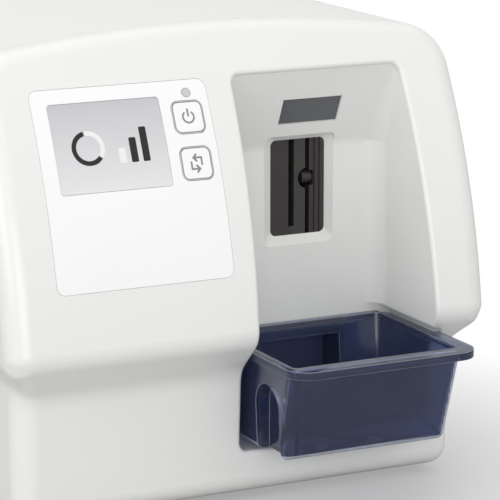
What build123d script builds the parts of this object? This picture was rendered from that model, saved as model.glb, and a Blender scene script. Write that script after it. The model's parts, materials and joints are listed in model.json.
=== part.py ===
"""Desktop phosphor plate scanner: +X to the right, -Y to the front, +Z up, origin under the middle of its box."""
import math
import os

from build123d import *

os.makedirs("parts", exist_ok=True)

# Overall size, from the tray's lip to the rear of the housing
depth = 320.0
width = 213.0
crown_z = 195.2
foot_height = 3.5

# Walls, clearances and overruns that several pieces share
wall = 2.5
seam_gap = 0.3
seat_gap = 0.3
slip_gap = 0.05
guide_gap = 0.5
overrun = 10.0
nudge = 0.01
board_thickness = 1.6
sheet = 2.0
plate_steel = 3.0

# The recess wall is the plane that the front is laid out from
tray_reach = 79.6
front_y = -depth / 2
rear_y = depth / 2
wall_y = front_y + tray_reach
seam_y = wall_y + 0.6 * seam_gap
cover_y = seam_y + seam_gap

# Cross-section of the housing, seen from the front
tuck_z_share = 0.35861
tuck_z = tuck_z_share * crown_z
half_width = width / 2
base_inset = 7.5
base_half = half_width - base_inset
base_z = foot_height
tuck_low_z = tuck_z - base_inset
tuck_radius = 10.0
crown_drop = 8.7
shoulder_radius = 19.0
base_corner = 8.0
pan_inner_corner = 5.0

# Profile of the front, seen from the side: reach ahead of the recess wall, and height above the ridge
front_z_shares = (0.36885, 0.28689)
ridge_z, lower_z = (share * crown_z for share in front_z_shares)
nose = 50.5
ridge_radius = 10.0
lower_reach = 34.5
lower_radius = 12.0
rim_radius = 9.0
steep_share = 0.8
face_shares = ((0.085, 1.01), (0.691, 0.527), (1.0, 0.0))

# Recess that the plates go into and drop out of
recess_x_shares = (0.01315, -0.00704, 0.37746, 0.38263, 0.40845)
(
    recess_left_top, recess_left_low, recess_right_top, recess_right_low, bay_right,
) = (share * width for share in recess_x_shares)
recess_z_shares = (0.89293, 0.71721, 0.34324, 0.11270)
recess_top_z, fold_z, bay_top_z, bay_floor_z = (share * crown_z for share in recess_z_shares)
brow_reach = 15.8
fold_radius = 8.0
recess_corner = 4.0
bay_corner = 2.2
recess_edge = 1.6
cove_radius = 8.0
cove_top_radius = 1.0

# Control face
overlay_x_shares = (-0.40188, -0.04460, -0.37042, -0.14554)
overlay_left, overlay_right, display_left, display_right = (share * width for share in overlay_x_shares)
overlay_z_shares = (0.50666, 0.89549, 0.69570, 0.86732)
overlay_low, overlay_high, display_low, display_high = (share * crown_z for share in overlay_z_shares)
overlay_corner = 3.5
overlay_thickness = 0.8
overlay_gap = 0.15
display_corner = 1.5
display_recess = 0.3
display_glass = 1.4

# Plane of the keys and the board behind them
panel_x_shares = (-0.25798, -0.09202, -0.16197, 0.21596)
panel_x, key_x, board_left, board_right = (share * width for share in panel_x_shares)
panel_z_share = 0.78125
panel_z = panel_z_share * crown_z
panel_reach = 28.6
panel_tilt = 23.8
power_v = 9.2
cycle_v = -9.8
lens_v = 19.3
key_side = 13.4
key_corner = 3.0
key_gap = 0.3
key_travel = 0.6
key_depth = 6.2
key_flange = 1.2
key_lip = 1.0
key_stem = 2.2
lens_radius = 1.5
lens_head = 1.8
board_depth = 12.0
board_low = -32.0
board_high = 27.0
boss_radius = 3.2
boss_inset = 4.2
screw_radius = 1.25
screw_head_radius = 2.4
screw_head_height = 1.6
screw_bite = 5.0
switch_side = 6.0
switch_height = 3.4
lcd_width = 54.0
lcd_height = 41.0
lcd_depth = 3.6
lcd_front = 4.6

# Plate slot and its surround
slot_x_shares = (0.19155, 0.12488, 0.27700, 0.14554, 0.26432, 0.08451, 0.30047, 0.22676, 0.21690)
(
    slot_x, frame_left, frame_right, insert_left, insert_right,
    flange_left, flange_right, groove_x, finger_nose_x,
) = (share * width for share in slot_x_shares)
slot_z_shares = (0.53893, 0.73258, 0.50205, 0.74283, 0.52100, 0.72951, 0.48412, 0.76537, 0.64242)
(
    slot_low, slot_high, frame_low, frame_high, insert_low,
    insert_high, flange_low, flange_high, finger_z,
) = (share * crown_z for share in slot_z_shares)
slot_width = 2.6
slot_mid = (slot_low + slot_high) / 2
pocket_depth = 3.0
frame_corner = 3.0
insert_corner = 2.5
insert_thickness = 4.5
groove_width = 1.9
notch_radius = 3.9
finger_radius = 2.7
gate_rib_width = 0.6
gate_rib_shares = (0.28, 0.62)

# Tinted window above the slot
window_x_shares = (0.14366, 0.27089)
window_left, window_right = (share * width for share in window_x_shares)
window_z_shares = (0.77049, 0.82736)
window_low_z, window_high_z = (share * crown_z for share in window_z_shares)
window_recess = 0.8
window_thickness = 1.5
window_gap = 0.1
light_board_margin = 4.0
light_board_gap = 0.3

# Shutter behind the slot
shutter_x_share = 0.09390
shutter_left = shutter_x_share * width
shutter_thickness = 1.2
shutter_gap = 0.6
shutter_travel = 4.6
shutter_edge_gap = 0.9
shutter_margin = 1.2
plunger_radius = 0.9
solenoid_length = 22.0
solenoid_side = 12.0
solenoid_stroke_gap = 6.0

# Chassis and transport
chassis_x_shares = (-0.20657, 0.46009, 0.12676, 0.25822, -0.09390, 0.24413)
(
    chassis_left, chassis_right, drop_left, drop_right, bracket_left, finger_window_right,
) = (share * width for share in chassis_x_shares)
chassis_z_shares = (0.48668, 0.77869, 0.53279, 0.73924, 0.57377, 0.71721, 0.64549)
(
    chassis_z, bracket_top, plate_window_low, plate_window_high, rod_low_z, rod_high_z, screw_z,
) = (share * crown_z for share in chassis_z_shares)
chassis_top = chassis_z + plate_steel
chassis_front = 10.0
chassis_rear = 196.0
drop_front = 62.0
drop_rear = 106.0
post_radius = 4.0
post_inset = 8.0
bracket_front = 12.0
foot_flange = 14.0
plate_window_half = 3.2
finger_window_half = 5.5
rod_radius = 3.0
screw_shaft = 3.0
screw_pitch = 8.0
groove_depth = 0.5
bearing_radius = 6.0
bearing_flange = 1.4
bearing_flange_thickness = 1.0
screw_start = 10.5
rear_bracket_y = 140.0
motor_side = 35.0
motor_gap = 2.5
screw_x = half_width - wall - motor_gap - motor_side / 2
rod_pitch = 19.0
rod_x = screw_x - rod_pitch
bracket_tab = 13.0
bracket_margin = 17.0
rear_bracket_left = rod_x - bracket_tab
rear_bracket_right = screw_x + bracket_margin
motor_length = 34.0
motor_bolt = 13.0
motor_corner = 3.0
motor_shaft_bore = 8.0

# Plate carriage
magnet_face_share = 0.19484
magnet_face_x = magnet_face_share * width
carriage_side = 7.0
carriage_end = 8.0
carriage_left = rod_x - carriage_side
carriage_right = screw_x + carriage_end
carriage_z_shares = (0.53279, 0.75820)
carriage_low, carriage_high = (share * crown_z for share in carriage_z_shares)
carriage_front = 22.0
carriage_length = 24.0
carriage_travel = 75.0
bush_wall = 1.5
bush_length = 8.0
nut_wall = 2.6
nut_flange = 2.4
nut_flange_thickness = 2.0
arm_front = 24.0
arm_rear = 30.0
magnet_pad_half = 2.5
finger_depth = 4.4
finger_front = 3.3
magnet_radius = 2.0
magnet_thickness = 1.5
magnet_y = 18.0

# Rail under the plate
rail_z_share = 0.55328
rail_top = rail_z_share * crown_z
rail_half = 4.0
rail_front = 16.0
rail_rear = 60.0
rail_groove = 2.9

# Slot sensor
sensor_z_shares = (0.68648, 0.76844, 0.74283)
sensor_low, sensor_high, sensor_roof = (share * crown_z for share in sensor_z_shares)
sensor_half = 4.7
sensor_slot = 4.4
sensor_length = 8.0

# Optics: the beam comes down, turns at the mirror and crosses to the plate
optics_x_shares = (-0.10329, -0.19718, -0.00939, 0.04695)
(
    mirror_x, optics_bracket_left, optics_bracket_right, detector_x,
) = (share * width for share in optics_x_shares)
optics_z_shares = (0.91189, 0.76844, 0.78893, 0.53279, 0.72746)
(
    optics_bracket_top, laser_low, clamp_low, detector_window_low, detector_window_high,
) = (share * crown_z for share in optics_z_shares)
mirror_flat = 12.0
mirror_front = 59.0
mirror_thickness = 8.0
mirror_sides = 6
mirror_turn = 15.0
beam_turn = 45.0
spindle_radius = 1.5
optics_bracket_y = 69.5
scan_motor_side = 28.0
scan_motor_lift = 3.3
mirror_z = chassis_top + scan_motor_lift + scan_motor_side / 2
scan_motor_length = 14.0
laser_radius = 6.0
laser_length = 30.0
clamp_height = 14.0
clamp_margin = 4.0
detector_y = 88.0
detector_side = 30.0
detector_height = 68.0
detector_wall = 2.0
spindle_hole = 6.0
spindle_front = 58.0
spindle_bite = 4.0
detector_window_front = 77.0
detector_window_rear = 91.0
guide_mouth = 3.0
guide_back_front = 75.5
guide_back_rear = 92.0
tube_radius = 12.0
tube_height = 56.0
guide_front = 66.5
guide_tip = 36.2
guide_height = 46.0

# Erase lamps
erase_x_share = 0.13146
erase_x = erase_x_share * width
erase_z_share = 0.74795
erase_high = erase_z_share * crown_z
erase_front = 20.0
erase_rear = 56.0
lamp_side = 3.0
lamp_depth = 1.5
lamp_pitch = 11.0
lamp_rows = 4
lamp_columns = 3

# Chute under the chassis and its light flap
chute_z_shares = (0.17162, 0.33811, 0.43033, 0.31250)
chute_exit_low, chute_exit_high, chute_back_low, flap_z = (share * crown_z for share in chute_z_shares)
chute_half = 26.0
chute_roof = 28.0
chute_knee = 20.0
chute_back = 108.0
chute_wall = 2.0
flap_y = 18.0
flap_tip_gap = 4.5
flap_length = flap_z - chute_exit_low - flap_tip_gap
flap_thickness = 1.5
flap_side_gap = 0.7
flap_barrel = 2.4
flap_pin_radius = 1.25
flap_swing = 35.0
exit_inset = 2.0

# Collection tray
tray_x_shares = (0.00235, 0.40235)
tray_left, tray_right = (share * width for share in tray_x_shares)
tray_z_shares = (0.33555, 0.12449, 0.18955, 0.30225, 0.27664)
(
    tray_top, tray_low, tray_window_low, tray_window_high, arch_top,
) = (share * crown_z for share in tray_z_shares)
tray_rear = 0.5
tray_skin = 2.0
lip_thickness = 3.2
lip_front = 7.1
lip_left = 2.0
lip_right = 4.4
lip_rear = 2.0
tray_lean_front = 11.5
tray_lean_side = 1.5
tray_lean_rear = 3.5
tray_corner = 4.5
tray_lip_corner = 10.0
tray_rear_corner = 3.0
tray_low_corner = 4.0
tray_base_edge = 3.5
lip_step_y = 44.0
lip_step = 1.2
lip_step_width = 5.3
tray_travel = 60.0
tray_window_half = 19.0
tray_groove = 0.8
tray_groove_depth = 0.4
groove_inset = 2.8
dome_radius = 4.5
dome_height = 1.8
dome_reach = 53.0
dome_shift = -4.5
dome_pitch = 25.5
dome_count = 2
arch_y = 49.2
arch_half = 10.2
arch_depth = 5.0
rail_width = 4.0
rail_inset = 14.0

# Electronics
board_x_shares = (-0.44131, -0.20657, -0.38498, -0.28169)
main_left, main_right, dc_x, jack_x = (share * width for share in board_x_shares)
main_front = 22.0
main_lift = 6.0
main_rear_gap = 4.0
standoff_radius = 3.0
chip_height = 1.6
dc_width = 12.0
dc_height = 11.0
jack_width = 16.0
jack_height = 13.5
jack_depth = 16.0
port_gap = 0.4
ribbon_width = 20.0
ribbon_thickness = 0.8
ribbon_bend = 12.0
ribbon_drop = 34.0
socket_radius = 3.2
pin_radius = 0.9
jack_wall = 1.6
chip_shares = (
    (0.28, 0.18, 0.28, 0.067), (0.6, 0.37, 0.36, 0.057), (0.24, 0.56, 0.24, 0.124),
    (0.72, 0.68, 0.18, 0.043),
)

# Join between the bezel and the rear housing
base_boss_x_share = 0.28169
base_boss_x = base_boss_x_share * width
base_boss_z_share = 0.07684
base_boss_top = base_boss_z_share * crown_z
split_drop = 4.5
split_z = tuck_low_z - split_drop
ring_wall = 1.6
ring_root = 3.0
ring_reach = 5.0
ring_bite = 0.5
base_boss = 9.0
pad_bite = 2.4

# Rear panel and its fasteners
rear_z_shares = (0.81967, 0.18443, 0.61475)
panel_screw_high, panel_screw_low, vent_low = (share * crown_z for share in rear_z_shares)
panel_recess = 2.2
panel_screw_inset = 14.0
panel_boss = 10.0
panel_boss_length = 14.0
vent_count = 9
vent_pitch = 9.0
vent_width = 3.5
vent_height = 42.0
rear_edge = 1.2

# Feet and base screws
foot_radius = 6.5
foot_inset = 20.0
front_foot_back = 6.7
rear_foot_inset = 24.0
foot_edge = 0.6
foot_peg = 2.5
foot_peg_length = 4.5
pan_vent_count = 8
pan_vent_length = 40.0
pan_vent_width = 3.0
pan_vent_pitch = 8.0


def box_between(low, high, mode=Mode.ADD):
    """A box from its low corner to its high corner."""
    spans = [b - a for a, b in zip(low, high)]
    with Locations(tuple((a + b) / 2 for a, b in zip(low, high))):
        Box(*spans, mode=mode)


def rod_between(start, end, radius, mode=Mode.ADD):
    """A round bar from one point to another."""
    run = Vector(*end) - Vector(*start)
    with Locations(Plane(origin=start, z_dir=run)):
        Cylinder(radius, run.length, align=(Align.CENTER, Align.CENTER, Align.MIN), mode=mode)


def save(piece, name):
    """Label a finished piece and write it."""
    piece.part.label = name
    export_step(piece.part, f"parts/{name}.step")


def body_outline(inset, low_corner=base_corner):
    """The housing's cross-section, seen from the front."""
    arc_z = crown_z - crown_drop
    with BuildSketch(Plane.XZ) as face:
        with BuildLine():
            ThreePointArc((-half_width, arc_z), (0, crown_z), (half_width, arc_z))
            Polyline(
                (half_width, arc_z), (half_width, tuck_z), (base_half, tuck_low_z), (base_half, base_z),
                (-base_half, base_z), (-base_half, tuck_low_z), (-half_width, tuck_z), (-half_width, arc_z),
            )
        make_face()
        fillet(face.vertices().group_by(Axis.Y)[-1], shoulder_radius)
        if low_corner:
            fillet(face.vertices().group_by(Axis.Y)[0], low_corner)
        fillet([v for v in face.vertices() if abs(v.Y - tuck_z) < nudge], tuck_radius)
        fillet([v for v in face.vertices() if abs(v.Y - tuck_low_z) < nudge], tuck_radius)
        if inset:
            offset(amount=-inset)
    return face.sketch


def side_profile(inset, back_y):
    """The front of the housing seen from the side, back to a plane."""
    rise = crown_z - ridge_z
    curve = [(wall_y - nose * reach, ridge_z + rise * up) for reach, up in face_shares]
    lower_y = wall_y - lower_reach
    floor_z = base_z - overrun
    with BuildSketch(Plane.YZ.offset(-half_width - overrun)) as side:
        with BuildLine():
            ThreePointArc(*curve)
            Polyline(
                curve[-1], (lower_y, lower_z), (lower_y, floor_z), (back_y, floor_z), (
                    back_y, curve[0][1],
                ), curve[0]
            )
        make_face()
        fillet(side.vertices().sort_by(Axis.X)[0], ridge_radius)
        fillet([v for v in side.vertices() if abs(v.Y - lower_z) < nudge], lower_radius)
        if inset:
            offset(amount=-inset)
    return side.sketch


def face_block(inset, back_y):
    """The solid behind the front face, before the housing's outline trims it."""
    with BuildPart() as block:
        extrude(side_profile(inset, back_y), amount=width + 2 * overrun)
    return block.part


def front_block(inset, back_y):
    """The front of the housing as a solid with rounded edges."""
    with BuildPart() as block:
        add(face_block(inset, back_y))
        extrude(body_outline(inset, 0), amount=depth, both=True, mode=Mode.INTERSECT)
        limit_y = back_y - inset - nudge
        ahead = [e for e in block.edges() if e.bounding_box().max.Y < limit_y]
        rim = [e for e in ahead if not (e.geom_type == GeomType.LINE and abs((e % 0.5).X) > steep_share)]
        fillet(rim, rim_radius - inset)
        base = [e for e in block.edges().group_by(Axis.Z)[0] if e.bounding_box().min.Y < limit_y]
        fillet(base, base_corner - inset)
    return block.part


def recess_block(grow):
    """The space of the recess, grown on every side by a wall."""
    low_left = (recess_left_low, bay_floor_z)
    with BuildPart() as block:
        with BuildSketch(Plane.XZ) as outline:
            with BuildLine():
                Polyline(
                    low_left, (recess_left_top, recess_top_z), (recess_right_top, recess_top_z),
                    (
                        recess_right_low, bay_top_z,
                    ), (bay_right, bay_top_z), (bay_right, bay_floor_z), low_left,
                )
            make_face()
            rows = outline.vertices().group_by(Axis.Y)
            fillet(rows[0] + rows[-1], recess_corner)
            fillet([v for v in outline.vertices() if abs(v.Y - bay_top_z) < nudge], bay_corner)
            if grow:
                offset(amount=grow)
        extrude(outline.sketch, amount=depth, both=True)
        with BuildSketch(Plane.YZ.offset(-half_width)) as side:
            ahead_y = wall_y - tray_reach
            with BuildLine():
                Polyline(
                    (wall_y - brow_reach, recess_top_z), (wall_y, fold_z), (wall_y, bay_floor_z),
                    (ahead_y, bay_floor_z), (ahead_y, recess_top_z), (wall_y - brow_reach, recess_top_z),
                )
            make_face()
            fillet(side.vertices().group_by(Axis.Y)[-2], fold_radius)
            if grow:
                offset(amount=grow)
        extrude(side.sketch, amount=width, mode=Mode.INTERSECT)
    return block.part


def front_prism(left, right, low, high, corner):
    """A rounded rectangle seen from the front, carried through the whole front."""
    middle = ((left + right) / 2, (low + high) / 2)
    with BuildPart() as prism:
        with BuildSketch(Plane.XZ.offset(-wall_y)) as face:
            with Locations(middle):
                RectangleRounded(right - left, high - low, corner)
        extrude(face.sketch, amount=tray_reach)
    return prism.part


def skin(outer_depth, inner_depth):
    """The layer of the front face between two depths under its surface."""
    back_y = wall_y
    outer = face_block(0, back_y)
    with BuildPart() as layer:
        add(outer.moved(Location((0, outer_depth, 0))))
        add(outer.moved(Location((0, inner_depth, 0))), mode=Mode.SUBTRACT)
    return layer.part


# Plane of the keys, tangent to the face and tilted with it
tilt = math.radians(panel_tilt)
panel = Plane(
    origin=(panel_x, wall_y - panel_reach, panel_z),
    x_dir=(1, 0, 0),
    z_dir=(0, -math.cos(tilt), math.sin(tilt)),
)
key_u = key_x - panel_x
lens_u = key_u + (overlay_right - key_x) / 10
boss_places = [
    (board_left + boss_inset, board_low + boss_inset),
    (board_left + boss_inset, board_high - boss_inset),
    (board_right - boss_inset, board_low + boss_inset),
    (board_right - boss_inset, board_high - boss_inset),
]


def panel_prism(u, v, side, corner, near, far):
    """A rounded square bar square to the panel, between two depths."""
    with BuildPart() as prism:
        with BuildSketch(panel.offset(-near)) as face:
            with Locations((u, v)):
                RectangleRounded(side, side, corner)
        extrude(face.sketch, amount=near - far)
    return prism.part


def panel_rod(u, v, radius, near, far):
    """A round bar square to the panel, between two depths."""
    with BuildPart() as bar:
        with BuildSketch(panel.offset(-near)) as face:
            with Locations((u, v)):
                Circle(radius)
        extrude(face.sketch, amount=near - far)
    return bar.part


key_hole = key_side + 2 * key_gap
key_holes = [
    panel_prism(key_u, v, key_hole, key_corner + key_gap, -overrun, overrun) for v in (power_v, cycle_v)
]
lens_hole = panel_rod(lens_u, lens_v, lens_radius + slip_gap, -overrun, overrun)

# Slanted panel at the top of the recess
brow_angle = math.degrees(math.atan2(brow_reach, recess_top_z - fold_z))
window_mid_z = (window_low_z + window_high_z) / 2
window_slope = brow_reach / (recess_top_z - fold_z)
brow = Plane(
    origin=(
        (window_left + window_right) / 2, wall_y - (window_mid_z - fold_z) * window_slope, window_mid_z,
    ),
    x_dir=(1, 0, 0),
    z_dir=(0, -math.cos(math.radians(brow_angle)), -math.sin(math.radians(brow_angle))),
)
window_width = window_right - window_left
window_height = (window_high_z - window_low_z) / math.cos(math.radians(brow_angle))


def brow_plate(spare_width, spare_height, near, far):
    """A flat plate parallel to the slanted panel, between two depths."""
    with BuildPart() as plate:
        with BuildSketch(brow.offset(-near)) as face:
            Rectangle(window_width + 2 * spare_width, window_height + 2 * spare_height)
        extrude(face.sketch, amount=near - far)
    return plate.part


def slot_pocket():
    """The flared opening in the recess wall that shows the insert."""
    frame_mid = ((frame_left + frame_right) / 2, (frame_low + frame_high) / 2)
    insert_mid = ((insert_left + insert_right) / 2, (insert_low + insert_high) / 2)
    face_plane = Plane.XZ.offset(-wall_y)
    with BuildPart() as pocket:
        with BuildSketch(face_plane) as mouth:
            with Locations(frame_mid):
                RectangleRounded(frame_right - frame_left, frame_high - frame_low, frame_corner)
        with BuildSketch(face_plane.offset(-pocket_depth)) as throat:
            with Locations(insert_mid):
                RectangleRounded(insert_right - insert_left, insert_high - insert_low, insert_corner)
        loft([mouth.sketch, throat.sketch])
        extrude(mouth.sketch, amount=brow_reach)
    return pocket.part


# Chute exit, shared by the bezel, the chute, the flap and the tray
exit_left = slot_x - chute_half + chute_wall
exit_right = slot_x + chute_half - chute_wall
exit_low = chute_exit_low + chute_wall
exit_high = chute_exit_high - chute_wall

insert_y = wall_y + pocket_depth
insert_back = insert_y + insert_thickness
finger_right = finger_nose_x + finger_depth
flange_screws = [
    (x, z)
    for x in (flange_left + exit_inset + screw_head_radius, flange_right - exit_inset - screw_head_radius)
    for z in (flange_low + screw_head_radius, flange_high - screw_head_radius)
]
front_foot_y = wall_y - front_foot_back
rear_foot_y = rear_y - rear_foot_inset
foot_x = base_half - foot_inset

# Front bezel
with BuildPart() as bezel_cavity:
    add(front_block(wall, seam_y + wall + overrun))
    add(recess_block(wall), mode=Mode.SUBTRACT)

with BuildPart() as seam_ring:
    inner_inset = wall + seat_gap + ring_wall
    root = body_outline(wall - ring_bite).moved(Location((0, seam_y, 0)))
    tongue = body_outline(wall + seat_gap).moved(Location((0, seam_y, 0)))
    hollow = body_outline(inner_inset).moved(Location((0, seam_y, 0)))
    extrude(root, amount=ring_root)
    extrude(tongue, amount=-ring_reach)
    extrude(hollow, amount=2 * ring_reach, both=True, mode=Mode.SUBTRACT)
    for x in (-base_boss_x, base_boss_x):
        box_between(
            (x - base_boss / 2, seam_y, base_z + wall + seat_gap),
            (x + base_boss / 2, seam_y + base_boss, base_boss_top),
        )

def face_piece(prism, sink):
    """A bar square to the panel, trimmed to the curved face."""
    with BuildPart() as piece:
        add(prism)
        add(face_block(0, wall_y).moved(Location((0, sink, 0))), mode=Mode.INTERSECT)
    return piece.part


def cove_face(plane, radius):
    """Section of the cove between two walls of the recess."""
    bite = wall / 2
    with BuildSketch(plane) as corner:
        with Locations(((bite - radius) / 2, (bite - radius) / 2)):
            Rectangle(radius + bite, radius + bite)
        with Locations((-radius, -radius)):
            Circle(radius, mode=Mode.SUBTRACT)
    return corner.sketch


def recess_side_x(z):
    """Where the recess's right wall stands at a height."""
    rise = (z - bay_top_z) / (recess_top_z - bay_top_z)
    return recess_right_low + (recess_right_top - recess_right_low) * rise


# Cove up the recess's right rear corner, then tapering along the slanted panel
cove_low = Vector(recess_side_x(bay_top_z + bay_corner), wall_y, bay_top_z + bay_corner)
cove_fold = Vector(recess_side_x(fold_z), wall_y, fold_z)
cove_top = Vector(recess_side_x(recess_top_z), wall_y - brow_reach, recess_top_z)
with BuildPart() as corner_cove:
    with BuildPart():
        upright = Plane(origin=cove_low, x_dir=(1, 0, 0), z_dir=(0, 0, 1))
        level = Plane(origin=cove_fold, x_dir=(1, 0, 0), z_dir=(0, 0, 1))
        loft([cove_face(upright, cove_radius), cove_face(level, cove_radius)])
    lean = cove_top - cove_fold
    foot_plane = Plane(origin=cove_fold, x_dir=(1, 0, 0), z_dir=lean)
    head_plane = Plane(origin=cove_top, x_dir=(1, 0, 0), z_dir=lean)
    with BuildPart():
        loft([cove_face(foot_plane, cove_radius), cove_face(head_plane, cove_top_radius)])
    add(recess_block(wall / 2), mode=Mode.INTERSECT)

with BuildPart() as recess_liner:
    box_between(
        (recess_left_low - wall, seam_y - ring_bite, bay_floor_z - wall),
        (bay_right + wall, wall_y + wall, recess_top_z),
    )
    add(recess_block(wall), mode=Mode.INTERSECT)
    add(recess_block(0), mode=Mode.SUBTRACT)
    add(corner_cove.part)

with BuildPart() as front_bezel:
    add(front_block(0, seam_y))
    add(recess_block(0), mode=Mode.SUBTRACT)
    lips = [
        e for e in front_bezel.edges()
        if e.bounding_box().min.X > recess_left_low and e.bounding_box().max.X < bay_right + nudge
        and e.bounding_box().min.Z > bay_floor_z - nudge and e.center().Y < wall_y - brow_reach - nudge
        and abs((e % 0.5).Y) < steep_share
    ]
    fillet(lips, recess_edge)
    add(bezel_cavity.part, mode=Mode.SUBTRACT)
    add(recess_liner.part)
    add(seam_ring.part)
    add(skin(0, overlay_thickness) & front_prism(overlay_left, overlay_right, overlay_low, overlay_high, overlay_corner),
        mode=Mode.SUBTRACT)
    add(
        front_prism(display_left, display_right, display_low, display_high, display_corner),
        mode=Mode.SUBTRACT,
    )
    for hole in key_holes:
        add(hole, mode=Mode.SUBTRACT)
    add(lens_hole, mode=Mode.SUBTRACT)
    for u, v in boss_places:
        add(face_piece(panel_rod(u, v, boss_radius, -overrun, board_depth), wall / 2))
        add(
            panel_rod(u, v, screw_radius + slip_gap, board_depth - screw_bite, board_depth),
            mode=Mode.SUBTRACT,
        )
    box_between((flange_left, wall_y, flange_low), (flange_right, insert_y, flange_high))
    add(slot_pocket(), mode=Mode.SUBTRACT)
    for x, z in flange_screws:
        rod_between(
            (x, insert_y - pad_bite, z), (x, insert_y + nudge, z), screw_radius + slip_gap, Mode.SUBTRACT,
        )
    add(brow_plate(window_gap, window_gap, -overrun / 2, overrun / 2), mode=Mode.SUBTRACT)
    box_between(
        (exit_left, wall_y - wall, exit_low), (exit_right, wall_y + 2 * wall, exit_high), Mode.SUBTRACT,
    )
    rail_x = (tray_left + rail_inset, tray_right - lip_right - rail_inset)
    for x in rail_x:
        box_between(
            (x - rail_width / 2, wall_y - lower_reach + lip_front, bay_floor_z - wall / 2),
            (x + rail_width / 2, wall_y - tray_skin, tray_low - seat_gap),
        )
    for x in (-base_boss_x, base_boss_x):
        rod_between((x, seam_y + base_boss / 2, base_z + wall), (x, seam_y + base_boss / 2, base_z + wall + screw_bite),
                    screw_radius + slip_gap, Mode.SUBTRACT)
    for x in (-foot_x, foot_x):
        rod_between(
            (x, front_foot_y, 0), (x, front_foot_y, base_z + 2 * wall), foot_peg + slip_gap, Mode.SUBTRACT,
        )
save(front_bezel, "front_bezel")

# Control face
with BuildPart() as control_overlay:
    add(skin(0, overlay_thickness - slip_gap))
    add(front_prism(overlay_left + overlay_gap, overlay_right - overlay_gap, overlay_low + overlay_gap,
                    overlay_high - overlay_gap, overlay_corner - overlay_gap), mode=Mode.INTERSECT)
    add(
        front_prism(display_left, display_right, display_low, display_high, display_corner),
        mode=Mode.SUBTRACT,
    )
    for hole in key_holes:
        add(hole, mode=Mode.SUBTRACT)
    add(lens_hole, mode=Mode.SUBTRACT)
save(control_overlay, "control_overlay")

with BuildPart() as display_window:
    add(skin(display_recess, display_recess + display_glass))
    add(front_prism(display_left + overlay_gap, display_right - overlay_gap, display_low + overlay_gap,
                    display_high - overlay_gap, display_corner - overlay_gap / 2), mode=Mode.INTERSECT)
save(display_window, "display_window")


def key(v):
    """A key cap with its retaining flange and its stem."""
    near_switch = board_depth - switch_height - key_travel - slip_gap
    with BuildPart() as cap:
        add(face_piece(panel_prism(key_u, v, key_side, key_corner, -overrun, key_depth), 0))
        add(panel_prism(key_u, v, key_hole + 2 * key_lip, key_corner, key_depth, key_depth + key_flange))
        add(panel_rod(key_u, v, key_stem, key_depth + key_flange, near_switch))
    return cap


power_key = key(power_v)
save(power_key, "power_key")
cycle_key = key(cycle_v)
save(cycle_key, "cycle_key")

with BuildPart() as status_lens:
    add(face_piece(panel_rod(lens_u, lens_v, lens_radius, -overrun, board_depth), 0))
    add(panel_rod(lens_u, lens_v, lens_head, key_depth, key_depth + key_flange))
save(status_lens, "status_lens")

with BuildPart() as front_panel_board:
    with BuildSketch(panel.offset(-board_depth)) as outline:
        with Locations(((board_left + board_right) / 2, (board_low + board_high) / 2)):
            Rectangle(board_right - board_left, board_high - board_low)
        with Locations(*boss_places):
            Circle(screw_radius + slip_gap, mode=Mode.SUBTRACT)
    extrude(outline.sketch, amount=-board_thickness)
    with BuildSketch(panel.offset(-board_depth - board_thickness)) as header:
        with Locations((0, board_low + boss_inset)):
            Rectangle(ribbon_width, screw_bite)
    extrude(header.sketch, amount=-chip_height)
save(front_panel_board, "front_panel_board")

with BuildPart() as key_switches:
    for v in (power_v, cycle_v):
        with BuildSketch(panel.offset(-board_depth)) as base:
            with Locations((key_u, v)):
                Rectangle(switch_side, switch_side)
        extrude(base.sketch, amount=switch_height - key_travel)
        add(
            panel_rod(
                key_u, v, key_stem / 2 + slip_gap, board_depth - switch_height, board_depth - slip_gap,
            )
        )
save(key_switches, "key_switches")

with BuildPart() as display_module:
    with BuildSketch(panel.offset(-lcd_front)) as glass:
        Rectangle(lcd_width, lcd_height)
    extrude(glass.sketch, amount=-lcd_depth)
    with BuildSketch(panel.offset(-lcd_front - lcd_depth)) as carrier:
        Rectangle(lcd_width - wall, lcd_height - wall)
        offset(amount=-wall, mode=Mode.SUBTRACT)
    extrude(carrier.sketch, amount=-(board_depth - lcd_front - lcd_depth))
save(display_module, "display_module")

# Slot surround: the insert on the left of the groove, the gate on its right
with BuildPart() as slot_insert:
    box_between(
        (flange_left, insert_y, flange_low), (groove_x - groove_width / 2, insert_back, flange_high),
    )
    box_between((slot_x - slot_width / 2, insert_y - nudge, slot_low),
                (slot_x + slot_width / 2, insert_back + nudge, slot_high), Mode.SUBTRACT)
    rod_between((groove_x, insert_y - nudge, finger_z), (groove_x, insert_back + nudge, finger_z),
                notch_radius + groove_width / 4, Mode.SUBTRACT)
    for x, z in flange_screws[:2]:
        rod_between(
            (x, insert_y - nudge, z), (x, insert_back + nudge, z), screw_radius + slip_gap, Mode.SUBTRACT,
        )
    rail_back = insert_back + 2 * shutter_gap + shutter_thickness
    shutter_low = slot_low - shutter_margin
    shutter_high = slot_high + shutter_margin
    for low, high in ((shutter_low - seat_gap - sheet, shutter_low - seat_gap),
                      (shutter_high + seat_gap, shutter_high + seat_gap + sheet)):
        box_between((shutter_left + 3 * sheet, insert_back, low), (slot_x + slot_width, rail_back, high))
save(slot_insert, "slot_insert")

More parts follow.
